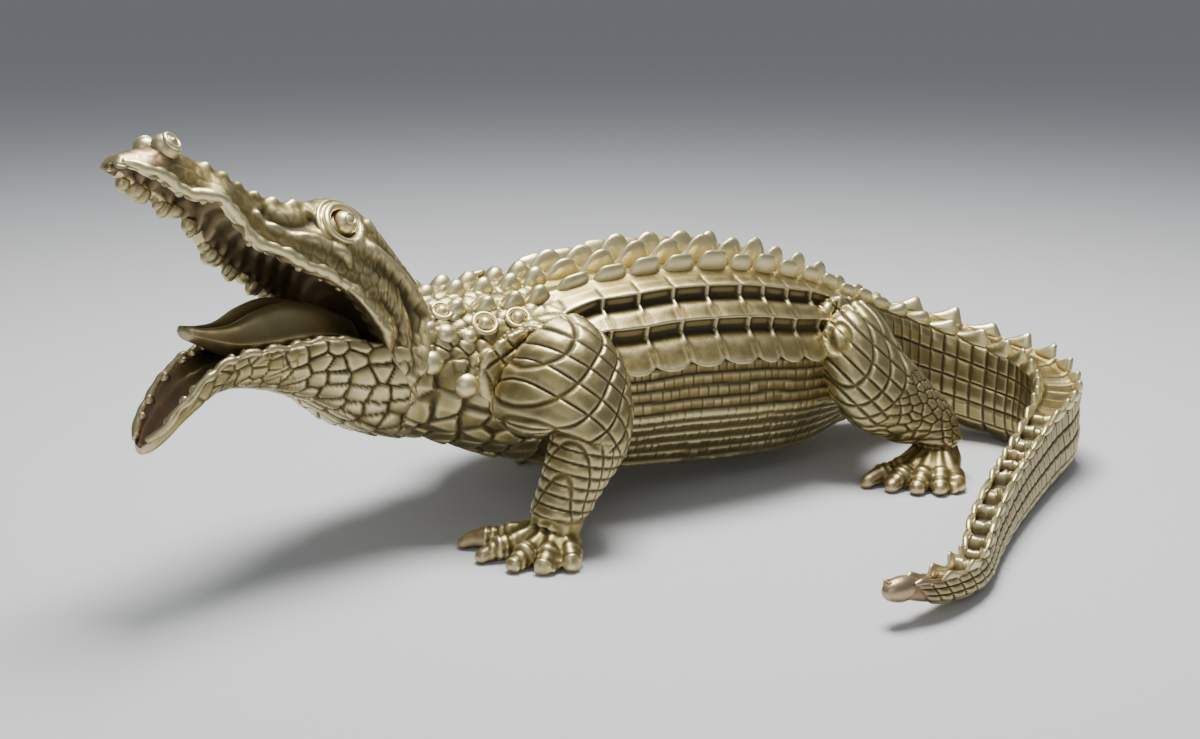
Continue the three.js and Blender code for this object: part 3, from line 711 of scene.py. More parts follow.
@dataclass
class Relief:
    """Heights of the skin's relief by region, all in mm."""

    spine: Spine
    bands: Bands
    slant: float = 4.0
    flank_row: float = 4.65
    flank_scale: float = 3.9
    seed: float = 1.0

    def armour(self, distance: Array, place: Array, out_share: Array) -> Array:
        """Recesses, thin cross bars and domed plates of the back's armour.

        Args:
            distance: Distance from the nape, on the grid.
            place: Place round the half section, on the grid.
            out_share: Outward coordinate as a share of the half width, on the grid.

        Returns:
            Heights.
        """
        _, share, length = self.bands.find(distance - self.slant * (1 - out_share))
        gap = length * np.minimum(share, 1 - share)
        bar = np.exp(-(gap / 0.75) ** 2)
        recess = 1.1 * hump(4.98, 6.4, 0.35, place) + 1.0 * hump(6.98, 8.4, 0.35, place)
        ledge = hump(6.3, 7.1, 0.2, place) + hump(8.3, 9.15, 0.2, place)
        dome = 1 - np.abs(2 * share - 1) ** 3
        rail = hump(3.6, 5.0, 0.3, place)
        height = -recess * (1 - bar) + 0.5 * bar * hump(5.0, 9.0, 0.4, place)
        height += ledge * (0.7 * dome - 0.5 + 0.25 * np.exp(-((gap - 1.4) / 0.6) ** 2))
        height += rail * (0.3 * dome - 0.45 * np.exp(-(gap / 0.5) ** 2))
        return height

    def flank(self, distance: Array, arc: Array, rows: float, seed: float) -> Array:
        """Rows of short scales whose upper edges stand proud, like small shingles.

        Args:
            distance: Distance from the nape, on the grid.
            arc: How far down the flank the place is, from 0 at the flange to 1 at the belly's edge.
            rows: How many rows there are.
            seed: Which scatter of the scales' ends.

        Returns:
            Heights.
        """
        wave = 0.09 * drift(distance / 16, arc * 3, seed)
        v = arc * rows + wave
        row = np.floor(v)
        t = v - row
        u = distance / (self.flank_scale * (0.85 + 0.4 * chance(row, row * 0, seed))) + 7 * chance(row, row, seed)
        u = u + 0.3 * drift(u * 0.5, row, seed + 3)
        a = u - np.floor(u)
        ledge = ease(0.0, 0.16, t) * (1 - 0.85 * t)
        ends = ease(0, 0.12, np.minimum(a, 1 - a))
        lively = 0.7 + 0.5 * chance(np.floor(u), row, seed + 1)
        return ledge * (0.5 + 0.5 * ends) * lively

    def pebble_skin(self, u: Array, v: Array, seed: float, lap: float) -> Array:
        """Domed irregular scales; lap tilts each so that its rear edge stands proud."""
        cells = pebbles(u, v, seed)
        body = ease(0.0, 0.22, cells.gap)
        return body * (0.6 + 0.25 * cells.pick + lap * cells.along - 0.9 * cells.near ** 2)


@dataclass
class Stroke:
    """A ridge, or a groove where the height is below zero, drawn on a skin along a line."""

    points: list[tuple[float, float, float]]
    height: float
    width: float
    beat: float = 0.0

    def relief(self, local: Array) -> Array:
        """Height of the stroke at points: a bell across its line, which fades at both ends.

        Args:
            local: Points in the stroke's own coordinates.

        Returns:
            Heights in mm.
        """
        line = smooth_path(self.points, 3 * len(self.points))
        away, share = distance_to_line(local, line)
        fade = ease(0, 0.12, share) * ease(1, 0.88, share)
        beat = 1 + 0.45 * np.sin(share * self.beat * 2 * np.pi) if self.beat else 1.0
        return self.height * np.exp(-(away / self.width) ** 2) * np.maximum(fade, 0.25) * beat


@dataclass
class JawFrame:
    """Axes of a jaw: forward, to the animal's left, and up, after yaw, pitch and roll in degrees."""

    yaw: float
    pitch: float
    roll: float
    hinge: Array = field(default_factory=lambda: np.array([-130.0, -4.0, 72.0]))

    def axes(self) -> Array:
        """Forward, left and up as rows."""
        yaw, pitch, roll = (math.radians(a) for a in (self.yaw, self.pitch, -self.roll))
        turn_z = np.array([[math.cos(yaw), -math.sin(yaw), 0], [math.sin(yaw), math.cos(yaw), 0], [0, 0, 1]])
        turn_y = np.array([[math.cos(pitch), 0, math.sin(pitch)], [0, 1, 0],
                           [-math.sin(pitch), 0, math.cos(pitch)]])
        turn_x = np.array([[1, 0, 0], [0, math.cos(roll), -math.sin(roll)], [0, math.sin(roll), math.cos(roll)]])
        turn = turn_z @ turn_y @ turn_x
        return np.stack([turn @ [-1, 0, 0], turn @ [0, -1, 0], turn @ [0, 0, 1]])

    def place(self, local: Array) -> Array:
        """Points from along, left and up to the drawing."""
        return self.hinge + np.asarray(local, float) @ self.axes()

    def local(self, points: Array) -> Array:
        """Points of the drawing as along, left and up."""
        return (points - self.hinge) @ self.axes().T


UPPER = JawFrame(20, 38, 12)
LOWER = JawFrame(22, -2, 0)


def round_curve(corners: Array, place: Array) -> Array:
    """Smooth closed curve through corners, for many rows at once.

    Between two corners the curve is the cubic whose slope at a corner is half the step between its
    neighbours.

    Args:
        corners: n rows of k corners with two coordinates.
        place: Places round the curve in corners, m of them.

    Returns:
        n by m points.
    """
    count = corners.shape[1]
    i = np.floor(place).astype(int)
    t = (place - i)[None, :, None]
    before, here, after, beyond = (corners[:, (i + k) % count] for k in (-1, 0, 1, 2))
    slope, slope_after = (after - before) / 2, (beyond - here) / 2
    return ((1 + 2 * t) * (1 - t) ** 2 * here + t * t * (3 - 2 * t) * after
            + t * (1 - t) ** 2 * slope + t * t * (t - 1) * slope_after)


def mirrored(profile: Array) -> Array:
    """A half profile and its mirror image as one closed ring."""
    back = profile[:, -2:0:-1].copy()
    back[..., 0] *= -1
    return np.concatenate([profile, back], axis=1)


def edge_blur(shell: Shell, values: Array, passes: int) -> Array:
    """Values averaged with their neighbours along the faces' edges, several times."""
    pairs = [shell.quads[:, [i, (i + 1) % 4]] for i in range(4)] + [shell.tris[:, [i, (i + 1) % 3]] for i in range(3)]
    a, b = np.vstack(pairs).T
    count = np.maximum(np.bincount(a, minlength=len(values)) + np.bincount(b, minlength=len(values)), 1)
    result = values
    for _ in range(passes):
        total = np.stack([np.bincount(a, result[b, c], len(values)) + np.bincount(b, result[a, c], len(values))
                          for c in range(values.shape[1])], axis=-1)
        result = 0.5 * result + 0.5 * total / count[:, None]
    return result


def point_normals(shell: Shell) -> Array:
    """Each point's normal: the sum of its faces' normals."""
    p = shell.points
    face = np.vstack([shell.quads[:, [0, 1, 2]], shell.quads[:, [0, 2, 3]], shell.tris])
    normal = np.cross(p[face[:, 1]] - p[face[:, 0]], p[face[:, 2]] - p[face[:, 0]])
    total = np.zeros_like(p)
    for c in range(3):
        for k in range(3):
            total[:, c] += np.bincount(face[:, k], normal[:, c], len(p))
    return unit(total)


def hollows(shell: Shell) -> tuple[Array, Array]:
    """How deep in a groove and how proud on an edge each point lies.

    The skin is smoothed a little and a lot; where the smoothed skin lies outside the point the point is in
    a hollow, and where it lies inside the point stands proud. The material paints shade into the hollows,
    together with the patina, and paints a highlight onto the proud edges, together with the worn metal.

    Args:
        shell: The finished skin.

    Returns:
        Hollow and proud, 0 to 1 each.
    """
    normals = point_normals(shell)
    fine = np.einsum("ij,ij->i", edge_blur(shell, shell.points, 4) - shell.points, normals)
    broad = np.einsum("ij,ij->i", edge_blur(shell, shell.points, 24) - shell.points, normals)
    # hollow becomes painted shade with patina in grooves; proud becomes a painted highlight with worn metal on edges
    hollow = np.clip(fine / 0.14, 0, 1) * 0.55 + np.clip(broad / 0.6, 0, 1) * 0.65
    proud = np.clip(-fine / 0.12, 0, 1) * 0.55 + np.clip(-broad / 0.5, 0, 1) * 0.6
    return np.clip(hollow, 0, 1), np.clip(proud, 0, 1)


@dataclass
class Piece:
    """A finished mesh: written in metres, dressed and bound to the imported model."""

    name: str
    shells: list[Shell]

    def build(self, finish: "bpy.types.Material") -> "bpy.types.Object":
        """Writes the mesh with its wear, its hollow and proud shares for painted shade and painted highlight, and its
        warmth, and binds it.

        Args:
            finish: The material.

        Returns:
            The object.
        """
        shell = merged(self.shells)
        hollow, proud = hollows(shell)
        points = (shell.points + FRAME_SHIFT) * MM
        mesh = bpy.data.meshes.new(self.name)
        quads, tris = shell.quads, shell.tris
        mesh.vertices.add(len(points))
        mesh.vertices.foreach_set("co", points.astype(np.float32).ravel())
        corners = np.concatenate([quads.ravel(), tris.ravel()]).astype(np.int32)
        sizes = np.concatenate([np.full(len(quads), 4), np.full(len(tris), 3)])
        starts = np.concatenate([[0], np.cumsum(sizes)[:-1]]).astype(np.int32)
        mesh.loops.add(len(corners))
        mesh.loops.foreach_set("vertex_index", corners)
        mesh.polygons.add(len(sizes))
        mesh.polygons.foreach_set("loop_start", starts)
        mesh.polygons.foreach_set("use_smooth", np.ones(len(sizes), bool))
        mesh.update(calc_edges=True)
        # hollow and proud carry painted shade and a painted highlight; dark carries painted shade mixed with patina
        for label, values in (("hollow", hollow), ("proud", proud), ("worn", shell.worn),
                              ("warm", shell.warm), ("dark", shell.dark)):
            attribute = mesh.attributes.new(label, "FLOAT", "POINT")
            attribute.data.foreach_set("value", np.clip(values, 0, 1).astype(np.float32))
        mesh.validate()
        mesh.materials.append(finish)
        piece = bpy.data.objects.new(self.name, mesh)
        bpy.context.scene.collection.objects.link(piece)
        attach(piece, BODY)
        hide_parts(NODE)
        log.info("%s: %d triangles", self.name, 2 * len(quads) + len(tris))
        return piece


class TabShape(Enum):
    """Outlines of the plates and thorns that stand on the back."""

    FIN = "rounded triangle"
    SLAB = "upright slab with a round top"
    THORN = "thorn that leans back"


def tab_outline(shape: TabShape, s: Array) -> Array:
    """Height of a tab along its length.

    A fin is a wide rounded hill, a slab is flat with quick round ends, and a thorn rises as a power up to
    its peak and falls straight behind it.

    Args:
        shape: Which outline.
        s: Places from -1 at the front to 1 at the back.

    Returns:
        Shares of the full height.
    """
    if shape is TabShape.FIN:
        return np.clip(1 - np.abs(s) ** 2.1, 0, 1) ** 0.95
    if shape is TabShape.SLAB:
        return np.clip(1 - np.abs(s) ** 4.5, 0, 1) ** 0.75
    t = (s + 1) / 2
    return np.where(t < TOOTH_PEAK, (t / TOOTH_PEAK) ** 1.5, (1 - t) / (1 - TOOTH_PEAK))


def tab(foot: Array, up: Array, back: Array, size: tuple[float, float, float], lean: float,
        shape: TabShape, worn: float, warm: float = 0.0) -> Shell:
    """One plate or thorn: pointed arches of falling height set side by side along its foot.

    Args:
        foot: Middle of its foot on the skin.
        up: Direction in which it stands.
        back: Direction of its length, towards the tail.
        size: Length, height and half thickness.
        lean: How far it leans back for each mm of height.
        shape: Outline along its length.
        worn: Share of bright worn metal.
        warm: Share of reddish metal.

    Returns:
        The closed plate, its root sunk into the skin.
    """
    length, height, thick = size
    side = unit(np.cross(back, up))
    s = np.sin(np.linspace(-1, 1, 15) * np.pi / 2)[:, None]
    angle = np.linspace(0, 2 * np.pi, 14, endpoint=False)[None, :]
    rise = np.sin(angle)
    z = np.where(rise > 0, height * tab_outline(shape, s) * np.abs(rise) ** 0.7, 2.6 * rise)
    wide = thick * np.clip(1 - np.abs(s) ** 2.6, 0.04, 1) ** 0.6
    across = wide * np.cos(angle) * np.where(rise > 0, 1 - 0.35 * rise, 1.0)
    travel = s * length / 2 + lean * np.maximum(z, 0) + 0 * angle
    rings = foot + back * travel[..., None] + up * z[..., None] + side * across[..., None]
    return shell_of_rings(rings, worn, warm)


@dataclass
class SpineSkin:
    """A stretch of neck, trunk or tail with its relief."""

    name: str
    start: float
    end: float
    row_pitch: float
    side_lengths: list[float]
    column_pitch: float
    spine: Spine
    relief: Relief
    limbs: list[Limb] = field(default_factory=list)
    blend: float = 9.0

    def half(self, distance: Array, place: Array, side: Side) -> tuple[Array, Array, Array, Array]:
        """One half of the skin before its relief is applied.

        Args:
            distance: Distances from the nape.
            place: Places round the half section.
            side: Which half.

        Returns:
            Points, heights of the relief, worn share, and share of painted shade mixed with patina.
        """
        out, up = self.spine.half_section(distance, place)
        values = spline(self.spine.rows, distance)
        half_width = values[:, 4][:, None]
        d = distance[:, None] + 0 * out
        q = place[None, :] + 0 * out
        share_out = out / half_width
        neck = ease(72, 58, d)
        trunk = ease(58, 70, d) * ease(240, 214, d)
        tail = ease(208, 228, d)
        _, share, length = self.relief.bands.find(d - self.relief.slant * (1 - share_out))
        lobe = (1 - np.abs(2 * share - 1) ** 2.4) * trunk * ease(66, 84, d)
        edge = np.exp(-((q - 9) / 0.42) ** 2)
        out = out + 1.6 * lobe * edge
        up = up - 2.6 * lobe * edge
        points = self.spine.place(distance, out, up, side.value)
        steps = np.hypot(np.diff(out, axis=1), np.diff(up, axis=1))
        arc = np.concatenate([np.zeros((len(distance), 1)), np.cumsum(steps, axis=1)], axis=1)

        def arc_share(first: float, last: float) -> Array:
            """Share of the way down the section between two corners."""
            a = arc[:, [int(np.argmin(np.abs(place - first)))]]
            b = arc[:, [int(np.argmin(np.abs(place - last)))]]
            return (arc - a) / np.maximum(b - a, 1e-6)

        foot = up[:, [int(np.argmin(np.abs(place - 9.9)))]]
        low = up[:, [int(np.argmin(np.abs(place - 12.15)))]]
        seed = 1.0 if side is Side.LEFT else 2.0
        height = trunk * self.trunk_relief(d, q, share_out, (foot - up) / (foot - low), arc, seed)
        height += neck * self.neck_relief(d, q, arc, seed)
        height += tail * self.tail_relief(d, q, arc, arc_share(4, 12.2), seed)
        # painted shade, mixed with patina: the recesses under the armour's rails and the pits between the rungs are
        # darkened
        recess = hump(4.95, 6.15, 0.4, q) + hump(6.95, 8.15, 0.4, q)
        dark = trunk * 0.5 * recess + tail * self.pit(d, q)
        worn = 0.3 + 0.55 * ease(9.4, 8.9, q) * trunk + 0.25 * neck * ease(9, 5, q) + 0.2 * tail * ease(4.5, 3, q)
        return points, height, worn, np.clip(dark, 0, 1)

    def trunk_relief(self, d: Array, q: Array, share_out: Array, down: Array, arc: Array, seed: float) -> Array:
        """Armour above the flange, rows of small scales below it, and broad plain scutes on the belly."""
        armour = self.relief.armour(d, q, share_out) * ease(9.3, 9.1, q) * ease(60, 72, d)
        scales = 1.15 * self.relief.flank(d, down, 9.4, seed)
        calm = ease(12.5, 12.2, q) * ease(9.7, 9.95, q) * (1 - 0.55 * ease(176, 206, d) * ease(0.3, 0.8, down))
        belly = 0.45 * pillow(d / 8.5, arc / 9, (8.5, 9.0), 0.9, 0.3) * ease(12.35, 12.6, q)
        return armour + scales * calm + belly

    def neck_relief(self, d: Array, q: Array, arc: Array, seed: float) -> Array:
        """Small domed scales on the neck's top that grow into large overlapping ones on the throat."""
        small = self.relief.pebble_skin(d / 5.6, arc / 5.4, seed, 0.3)
        large = self.relief.pebble_skin(d / 11.5 + 0.2, arc / 10.0, seed + 20, 0.55)
        low = ease(6.0, 8.4, q)
        return 1.3 * small * (1 - low) + 2.0 * large * low * ease(12.9, 12.2, q)

    def tail_relief(self, d: Array, q: Array, arc: Array, down: Array, seed: float) -> Array:
        """Rows of pillowed cells down the tail's sides, the lowest row twice as long, and the ladder on top."""
        blade = ease(340, 380, d)
        band, share, length = self.relief.bands.find(d + 7.0 * blade * down - 1.5 * (1 - blade))
        rows = 5.0 - 1.0 * blade[:, :1]
        v = down * rows
        low_row = v > rows - 1
        per_band = np.where(low_row, 1.0, 2.0)
        u = (band + share) * per_band
        cells = pillow(u, v, (6.4, 6.6), 0.75, 0.4)
        cells = cells * (0.85 + 0.3 * chance(np.floor(u), np.floor(v), seed))
        sides = 1.05 * cells * hump(3.9, 12.4, 0.25, q) * ease(self.spine.length - 2, self.spine.length - 22, d)
        _, top_share, top_length = self.relief.bands.find(d)
        seam = np.exp(-(top_length * np.minimum(top_share, 1 - top_share) / 0.7) ** 2)
        channel = -0.5 * seam * ease(3.0, 2.5, q) * ease(385, 360, d)
        wander = 0.09 * drift(d / 6, q * 0.8, seed)
        rung = np.exp(-((top_share - 0.6 + wander) / (0.22 + 0.5 * wander)) ** 4)
        ladder = ((1.6 + 0.8 * drift(d / 4, q, seed + 4)) * rung - 3.0 * (1 - rung)) * self.ladder_zone(d) * ease(3.0, 2.2, q)
        return sides + channel + ladder

    def ladder_zone(self, d: Array) -> Array:
        """Where the tail's top is a ladder of rungs."""
        return hump(378, 556, 20, d)

    def pit(self, d: Array, q: Array) -> Array:
        """Painted shade, mixed with dark patina, in the pits between the rungs."""
        _, share, _ = self.relief.bands.find(d)
        return (1 - np.exp(-((share - 0.6) / 0.22) ** 4)) * self.ladder_zone(d) * ease(2.9, 2.0, q)

    def shell(self) -> Shell:
        """The whole closed skin, its two halves joined along back and belly."""
        count = max(2, int(round((self.end - self.start) / self.row_pitch)))
        distance = np.linspace(self.start, self.end, count + 1)
        place = corner_places(self.side_lengths, self.column_pitch)
        halves = [self.half(distance, place, side) for side in (Side.LEFT, Side.RIGHT)]

        def ring(k: int) -> Array:
            """Joins the halves' k-th values round the ring."""
            return np.concatenate([halves[0][k], halves[1][k][:, -2:0:-1]], axis=1)

        points, height, worn, dark = (ring(k) for k in range(4))
        normals = ring_normals(points)
        flat = points.reshape(-1, 3)
        gap = np.full(len(flat), 99.0)
        for limb in self.limbs:
            path, radii = limb.middle_line(24)
            for centre, radius in zip(path, radii.mean(axis=1)):
                gap = np.minimum(gap, np.linalg.norm(flat - centre, axis=1) - radius)
        gap = gap.reshape(height.shape)
        swell = np.maximum(self.blend - np.maximum(gap, -1.0), 0) ** 2 / (4 * self.blend)
        height = height * (0.15 + 0.85 * ease(-1.0, 4.0, gap)) + swell * flank_only(place, height.shape)
        warm = 0.75 * ease(self.spine.length - 24, self.spine.length - 8, distance)[:, None] + 0 * height
        return shell_of_rings(points + normals * height[..., None], worn, warm, dark)


def flank_only(place: Array, shape: tuple[int, int]) -> Array:
    """1 on the flanks and 0 on the armour, round both halves, so that limbs swell only the flanks."""
    half = ease(9.3, 9.9, place)
    return np.broadcast_to(np.concatenate([half, half[-2:0:-1]]), shape)


@dataclass
class Crest:
    """The plates of the back, the thorns of the tail and the knobs and bosses of the neck."""

    spine: Spine
    bands: Bands
    inner_corner: float = 1.0
    outer_corner: float = 3.0
    slant: float = 4.0
    last_plate: float = 240.0

    def plates(self, corner: float, keel: int, share_out: float, shape: TabShape, size: tuple[float, float],
               tilt: float, lean: float) -> list[Shell]:
        """One row of plates on each side of the back, one plate to a band.

        Args:
            corner: Place of the row round the half section.
            keel: Which column of the keels' heights it takes.
            share_out: The row's outward place as a share of the half width.
            shape: Outline of a plate.
            size: Length as a share of the band, and half thickness.
            tilt: How far the plates lean outward, per mm of height.
            lean: How far they lean back, per mm of height.

        Returns:
            The plates.
        """
        shells = []
        for front, back_edge in zip(self.bands.edges[:-1], self.bands.edges[1:]):
            if front > self.last_plate:
                break
            length = back_edge - front
            middle = (front + back_edge) / 2 + self.slant * (1 - share_out)
            height = float(np.interp(middle, KEELS[:, 0], KEELS[:, keel])) * 1.08 + 0.8
            for side in Side:
                foot, _, back = self.spine.seat(middle, corner, side.value)
                out = np.append(self.spine.left(np.array([middle]))[0] * side.value, 0.0)
                up = unit(np.array([0, 0, 1.0]) + tilt * out)
                scale = 0.94 + 0.1 * math.sin(front * 1.7 + side.value)
                shells.append(tab(foot - up * 0.5, up, back, (length * size[0], height * scale, size[1]), lean,
                                  shape, 0.85))
        return shells

    def thorns(self) -> list[Shell]:
        """Two rows of thorns down the tail, one thorn to a band, smaller where the ladder runs."""
        shells = []
        for front, back_edge in zip(self.bands.edges[:-1], self.bands.edges[1:]):
            if front < self.last_plate or back_edge > self.spine.length + 2:
                continue
            length = back_edge - front
            middle = (front + back_edge) / 2
            height = float(np.interp(middle + 2, KEELS[:, 0], KEELS[:, 2])) * 1.15 + 0.8
            thick = float(np.interp(middle, [240, 340, 420, 560], [3.4, 2.7, 1.6, 1.6]))
            for side in Side:
                foot, _, back = self.spine.seat(middle, self.outer_corner, side.value)
                out = np.append(self.spine.left(np.array([middle]))[0] * side.value, 0.0)
                up = unit(np.array([0, 0, 1.0]) + 0.22 * out)
                scale = 0.92 + 0.16 * math.sin(front * 2.3 + side.value)
                shells.append(tab(foot - up * 0.6, up, back, (length * 1.12, height * scale, thick), 0.42,
                                  TabShape.THORN, 0.8, 0.7 * float(ease(530, 550, np.array(middle)))))
        return shells

    def knobs(self) -> list[Shell]:
        """Peaked knobs in rows along the nape, which grow into the plates of the back."""
        shells = []
        for corner, tilt, places in ((1.0, 0.1, (6, 19, 32, 44, 56, 67)), (3.1, 0.5, (13, 26, 39, 51, 62))):
            for i, distance in enumerate(places):
                for side in Side:
                    foot, normal, back = self.spine.seat(distance, corner, side.value)
                    up = unit(normal + np.array([0, 0, 0.6]))
                    size = (9.5 + 0.6 * i, 3.6 + 0.7 * i + 0.6 * math.sin(distance), 3.9)
                    shells.append(tab(foot - up * 0.3 + tilt * 0, up, back, size, 0.18, TabShape.FIN, 0.75))
        return shells

    def bosses(self) -> list[Shell]:
        """Round buttons with a ring, and plain domes, on the sides of the neck."""
        shells = []
        ringed = ((35.5, 4.4, 4.6), (50.0, 4.3, 4.4), (20.0, 3.3, 3.8))
        domed = ((18.0, 5.1, 4.6), (9.0, 7.2, 5.4), (21.5, 8.4, 5.6), (33.0, 6.6, 4.6), (12.0, 4.6, 3.8),
                 (44.0, 6.2, 4.0), (27.0, 5.3, 3.4))
        for distance, corner, radius in ringed:
            for side in Side:
                foot, normal, back = self.spine.seat(distance, corner, side.value)
                across = unit(np.cross(normal, back))
                turn = np.linspace(0, 2 * np.pi, 24, endpoint=False)[:, None]
                path = foot + normal * 0.7 + radius * (back * np.cos(turn) + across * np.sin(turn))
                shells.append(rope(path, np.full(24, 1.15), 8, closed=True, worn=0.6))
                shells.append(egg(foot + normal * 0.4, np.stack([back, across, normal]),
                                  (radius * 0.68, radius * 0.68, radius * 0.62), (18, 10), worn=0.8))
        for distance, corner, radius in domed:
            for side in Side:
                foot, normal, back = self.spine.seat(distance, corner, side.value)
                across = unit(np.cross(normal, back))
                shells.append(egg(foot - normal * 0.6, np.stack([back, across, normal]),
                                  (radius, radius * 0.9, radius * 0.72), (18, 10), worn=0.75))
        return shells

    def shells(self) -> list[Shell]:
        """All that stands on the spine."""
        inner = self.plates(self.inner_corner, 1, 0.15, TabShape.FIN, (1.12, 2.3), 0.12, 0.2)
        outer = self.plates(self.outer_corner, 2, 0.42, TabShape.SLAB, (0.93, 2.4), 0.34, 0.08)
        return inner + outer + self.thorns() + self.knobs() + self.bosses()


# Lines on the head, in the upper jaw's frame: along, left and up. They are the same on both sides.
HEAD_STROKES = [
    Stroke([(43.5, 20.8, 22.4), (35, 21.6, 23.1), (22.7, 22.3, 22), (11.7, 22.7, 18.9), (2.9, 23.3, 14.4),
            (1.3, 27.3, 5), (-0.1, 27.2, -5.4), (0.7, 26.6, -11.7)], 3.4, 3.3),
    Stroke([(40.2, 14.7, 35.9), (35.3, 16.7, 32.5), (27, 18.1, 29.6), (20, 19.8, 26)], 2.0, 2.4),
    Stroke([(85.5, 11.2, 14.8), (80, 13.4, 11.2), (73, 15.9, 11.4), (61.4, 19.1, 14.1), (50.3, 21.4, 15.4),
            (43, 22.8, 13)], 1.5, 2.2, 4),
    Stroke([(83, 9.8, 17.4), (78.5, 12.5, 15.1), (73.3, 14.5, 15.2), (68.1, 15.7, 17.2), (63.6, 15.9, 20.8),
            (59.4, 14.4, 26.4)], -3.0, 3.0),
    Stroke([(45.5, 21.7, 4.5), (36.8, 22.8, 3.3), (28.8, 25.2, 0.7), (23.2, 25.9, -1.4), (19.8, 25.6, -4.4),
            (21.5, 24.2, -10), (24.4, 22.6, -14.5)], 3.6, 2.9),
    Stroke([(31, 24.5, 8), (24, 25.5, 7), (17, 26, 3), (12.5, 26.6, -4), (13, 26, -11)], -2.4, 2.4),
    Stroke([(20, 23.4, 17), (12, 24.4, 12), (7.5, 26.4, 4), (7, 26.4, -6)], -1.6, 2.2),
]


@dataclass
class UpperJaw:
    """Skull, palate, eyes, nostrils, lips and upper teeth."""

    frame: JawFrame = field(default_factory=lambda: UPPER)
    pitch: float = 0.75
    eye: tuple[float, float, float] = (50.2, 16.4, 27.6)
    ball: float = 5.0
    lip_wave: float = 17.0

    def skull(self) -> Shell:
        """The skull: rounded rings along the jaw, with ridges, hollows and small scales raised on them."""
        along = np.linspace(-16, 135.5, int(151.5 / self.pitch))
        values = spline(SKULL, along)
        half, top, lip, arch = (values[:, [k]] for k in range(4))
        side = np.stack([half * np.array(SKULL_SIDE)[:, 0], lip + (top - lip) * np.array(SKULL_SIDE)[:, 1]], -1)
        roof = np.stack([half * np.array(PALATE)[:, 0], lip + arch * np.array(PALATE)[:, 1]], -1)
        corners = mirrored(np.concatenate([side, roof], axis=1))
        count = corners.shape[1]
        place = np.linspace(0, count, 190, endpoint=False)
        ring = round_curve(corners, place)
        local = np.concatenate([np.broadcast_to(along[:, None, None], ring.shape[:2] + (1,)), ring], axis=2)
        normals = ring_normals(local)
        f, l, u = local[..., 0], local[..., 1], local[..., 2]
        outside = ease(5.35, 4.9, np.minimum(place, count - place))[None, :] + 0 * f
        inside = 1 - outside
        height = self.skin_relief(f, l, u, place, outside)
        folded = local.reshape(-1, 3).copy()
        folded[:, 1] = np.abs(folded[:, 1])
        strokes = sum(stroke.relief(folded) for stroke in HEAD_STROKES).reshape(f.shape)
        height = height + outside * strokes + inside * self.palate_relief(f, l)
        height *= ease(-15, -6, f)
        points = self.frame.place(local + normals * height[..., None])
        worn = outside * (0.5 + 0.35 * ease(12, 26, u) * ease(8, 30, f)) + inside * 0.15
        warm = 0.75 * ease(112, 128, f) * ease(2, 8, u) + 0.35 * inside
        # inside the mouth the palate gets painted shade mixed with patina
        return shell_of_rings(points, np.clip(worn, 0, 1), np.clip(warm, 0, 1), inside * 0.35)

    def skin_relief(self, f: Array, l: Array, u: Array, place: Array, outside: Array) -> Array:
        """Eye mounds, the snout's middle ridge with its dots, and small scales that fade to the snout."""
        eye_away = np.sqrt((f - self.eye[0]) ** 2 + (np.abs(l) - self.eye[1]) ** 2 + (u - self.eye[2]) ** 2)
        mound = 2.6 * np.exp(-(eye_away / 9.5) ** 2)
        lean = math.radians(40)
        long_way = (f - self.eye[0]) * math.cos(lean) - (u - self.eye[2]) * math.sin(lean)
        high_way = (f - self.eye[0]) * math.sin(lean) + (u - self.eye[2]) * math.cos(lean)
        socket = ease(1.05, 0.7, np.hypot(long_way / 9.0, high_way / 6.4)) * ease(6, 10, np.abs(l))
        mound = mound - 3.0 * socket
        ridge = np.exp(-(l / 2.0) ** 2) * ease(10, 16, u) * hump(62, 118, 8, f)
        dots = 1.1 * ridge * (0.6 + 0.6 * np.sin(f * 2 * np.pi / 5.2))
        rim = 1.6 * np.exp(-((np.abs(l) - 0.5 * self.half_width(f)) / 1.6) ** 2) * ease(10, 15, u) * hump(60, 112, 8, f)
        rim *= 0.8 + 0.5 * np.sin(f * 2 * np.pi / 7.5 + 1)
        around = np.where(l >= 0, u * 0.9 + 3, 60 - u * 0.9)
        scales = pebbles(f / 5.0, around / 4.6, 31.0)
        pad = ease(0.02, 0.28, scales.gap) * (0.6 + 0.5 * scales.pick) - 0.5
        quiet = 0.16 + 0.36 * ease(70, 20, f)
        near_eye = 1 - np.exp(-(eye_away / 10.0) ** 4)
        return outside * (mound + dots + rim + 1.1 * pad * quiet * near_eye)

    def half_width(self, f: Array) -> Array:
        """Half width of the skull along the jaw."""
        return spline(SKULL, f)[..., 0]

    def palate_relief(self, f: Array, l: Array) -> Array:
        """Low waves across the palate and a row of lumps inside the gum."""
        wide = self.half_width(f)
        gum = np.exp(-((np.abs(l) - 0.78 * wide) / 2.0) ** 2)
        return 0.35 * np.sin(f * 0.9 + 0.15 * l ** 2 / 4) * ease(20, 60, f) + gum * 0.8 * np.sin(f * 0.62) ** 2

    def lip_path(self, side: int, count: int) -> Array:
        """Line of the lip from the corner of the mouth to the snout's tip."""
        f = np.linspace(22, 134, count)
        values = spline(SKULL, f)
        wave = 0.7 * np.sin(f * 2 * np.pi / self.lip_wave + side) + 0.25 * np.sin(f * 2 * np.pi / 6.1)
        return np.stack([f, side * (values[:, 0] - 1.3), values[:, 2] + 1.5 + 0.7 * wave], axis=-1)

    def lips(self) -> list[Shell]:
        """A thick wavy roll along each side's lip."""
        shells = []
        for side in Side:
            path = self.lip_path(side.value, 150)
            f = path[:, 0]
            thick = 2.35 + 0.25 * np.sin(f * 2 * np.pi / 13 + side.value) + 0.12 * np.sin(f * 1.3)
            thick *= ease(20, 34, f) * 0.6 + 0.4
            thick *= 1 - 0.45 * ease(126, 134, f)
            shells.append(rope(self.frame.place(path), thick, 14, 0.95, worn=0.75))
        return shells

